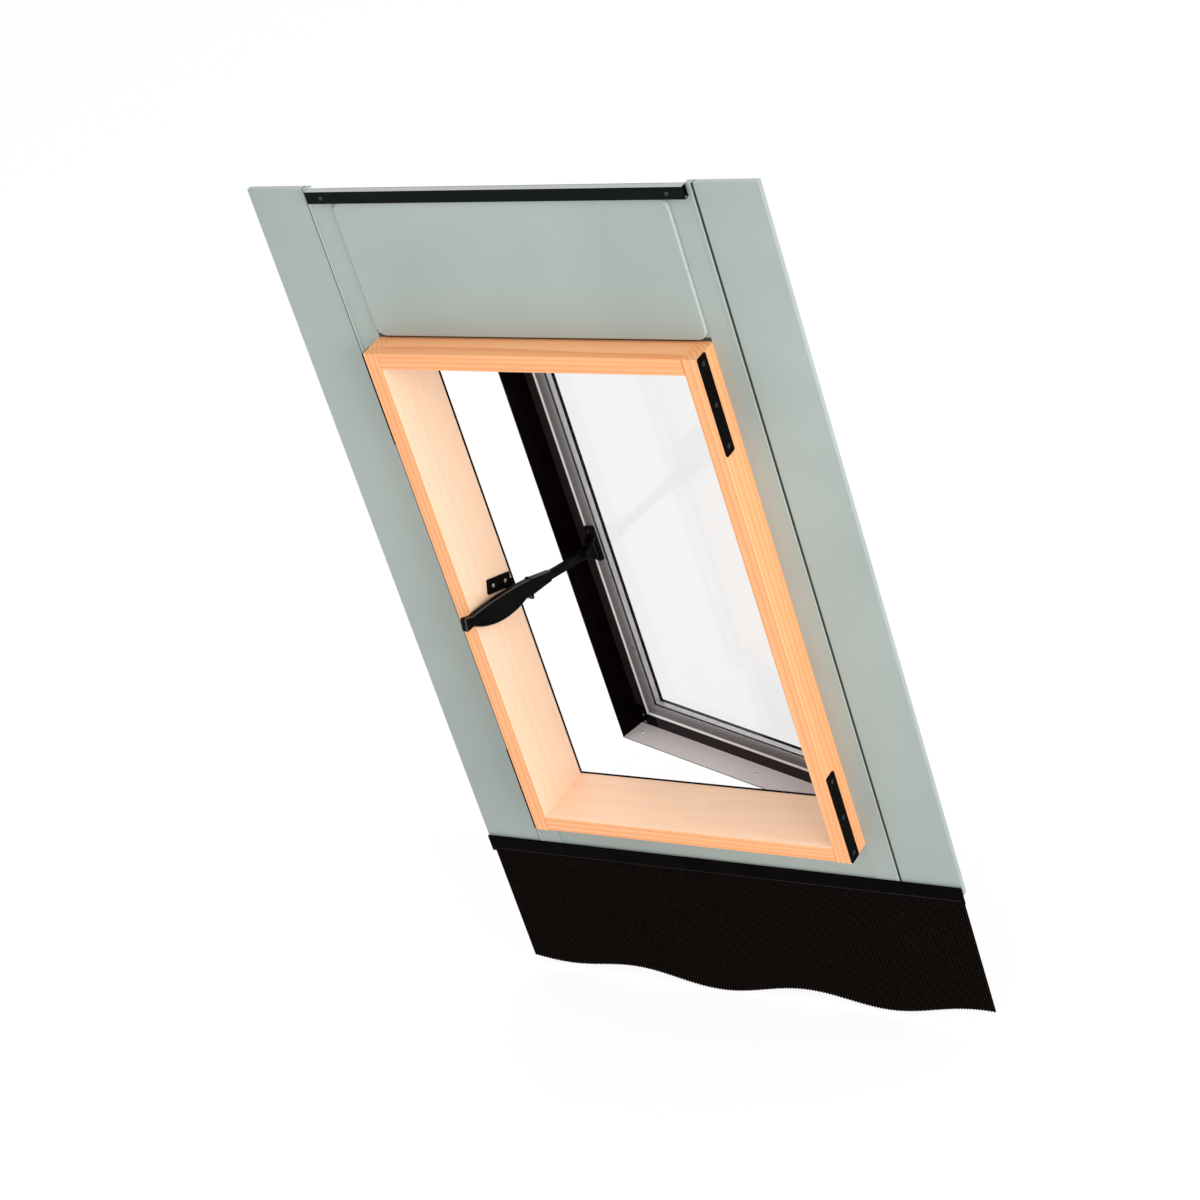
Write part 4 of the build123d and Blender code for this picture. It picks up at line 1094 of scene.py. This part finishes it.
# Stage
class SKYLIGHT_OT_stage(bpy.types.Operator):
    """Set up the camera, the soft light and the pale floor"""

    bl_idname = "skylight.stage"
    bl_label = "Stage"

    def execute(self, context):
        settings = context.scene.skylight_stage
        scene = context.scene
        scene.view_settings.view_transform = "Standard"
        self.camera(scene, settings)
        self.floor(settings)
        self.sky(scene, settings)
        for lamp in LAMPS:
            self.lamp(*lamp)
        return {"FINISHED"}

    def camera(self, scene, settings):
        data = bpy.data.cameras.new("camera")
        data.lens = settings.lens
        data.sensor_width = 36.0
        data.clip_end = 100.0
        camera = placed("camera", data)
        back = Vector(settings.camera_back).normalized()
        right = Vector(settings.camera_right)
        right = (right - back * right.dot(back)).normalized()
        up = back.cross(right)
        turn = Matrix((right, up, back)).transposed().to_4x4()
        camera.matrix_world = Matrix.Translation(settings.camera_place) @ turn
        scene.camera = camera

    def floor(self, settings):
        """A floor that lights the skylight like pale paper and is itself seen as near white."""
        level = CAD_BOX[0][2] - settings.floor_gap
        reach = 14.0
        corners = [(x * reach, y * reach, level) for x, y in ((-1, -1), (1, -1), (1, 1), (-1, 1))]
        mesh = bpy.data.meshes.new("floor")
        mesh.from_pydata(corners, [], [(0, 1, 2, 3)])
        ground = placed("floor", mesh)
        finish = Finish("floor_paper", Roughness=0.9, Specular_IOR_Level=0.0)
        seen = seen_ray(finish.tree)
        shadowed = rgba((settings.floor_shade,) * 3)
        finish.feed("Base Color", blend_colours(finish.tree, seen, rgba(settings.floor), shadowed))
        finish.feed("Emission Color", (1.0, 1.0, 1.0, 1.0))
        finish.feed("Emission Strength", times(finish.tree, seen, settings.floor_glow))
        dress([ground], finish)

    def sky(self, scene, settings):
        """Soft light from all round, itself seen as white."""
        world = bpy.data.worlds.new("sky")
        scene.world = world
        world.use_nodes = True
        tree = world.node_tree
        tree.nodes.clear()
        strength = make(
            tree, "ShaderNodeMapRange", {"Value": seen_ray(tree), "To Min": settings.sky, "To Max": 1.0}
        ).outputs["Result"]
        light = make(tree, "ShaderNodeBackground", {"Color": (1.0, 1.0, 1.0, 1.0), "Strength": strength})
        make(tree, "ShaderNodeOutputWorld", {"Surface": light.outputs[0]})

    def lamp(self, name, place, size, power):
        """A square lamp that shines on the skylight's middle."""
        data = bpy.data.lights.new(name, "AREA")
        data.size = size
        data.energy = power
        turn = (-Vector(place)).to_track_quat("-Z", "Y").to_matrix().to_4x4()
        placed(name, data).matrix_world = Matrix.Translation(place) @ turn


OPERATORS = (
    SKYLIGHT_OT_timber,
    SKYLIGHT_OT_flashing,
    SKYLIGHT_OT_apron,
    SKYLIGHT_OT_sash,
    SKYLIGHT_OT_fittings,
    SKYLIGHT_OT_screws,
    SKYLIGHT_OT_stage,
)
SETTINGS = {
    "skylight_timber": TimberSettings,
    "skylight_sheet": SheetSettings,
    "skylight_apron": ApronSettings,
    "skylight_sash": SashSettings,
    "skylight_fittings": FittingSettings,
    "skylight_stage": StageSettings,
}


class SKYLIGHT_PT_panel(bpy.types.Panel):
    """The skylight's pieces and their settings"""

    bl_label = "Skylight"
    bl_idname = "SKYLIGHT_PT_panel"
    bl_space_type = "VIEW_3D"
    bl_region_type = "UI"
    bl_category = "Skylight"

    def draw(self, context):
        for operator in OPERATORS:
            self.layout.operator(operator.bl_idname)
        for name in SETTINGS:
            box = self.layout.box()
            settings = getattr(context.scene, name)
            for key in settings.__annotations__:
                box.prop(settings, key)


def register():
    for group in SETTINGS.values():
        bpy.utils.register_class(group)
    for operator in OPERATORS:
        bpy.utils.register_class(operator)
    bpy.utils.register_class(SKYLIGHT_PT_panel)
    for name, group in SETTINGS.items():
        setattr(bpy.types.Scene, name, PointerProperty(type=group))


def unregister():
    for name in SETTINGS:
        delattr(bpy.types.Scene, name)
    bpy.utils.unregister_class(SKYLIGHT_PT_panel)
    for operator in reversed(OPERATORS):
        bpy.utils.unregister_class(operator)
    for group in SETTINGS.values():
        bpy.utils.unregister_class(group)


def main():
    register()
    for operator in OPERATORS:
        family, name = operator.bl_idname.split(".")
        getattr(getattr(bpy.ops, family), name)()


if __name__ == "__main__":
    main()
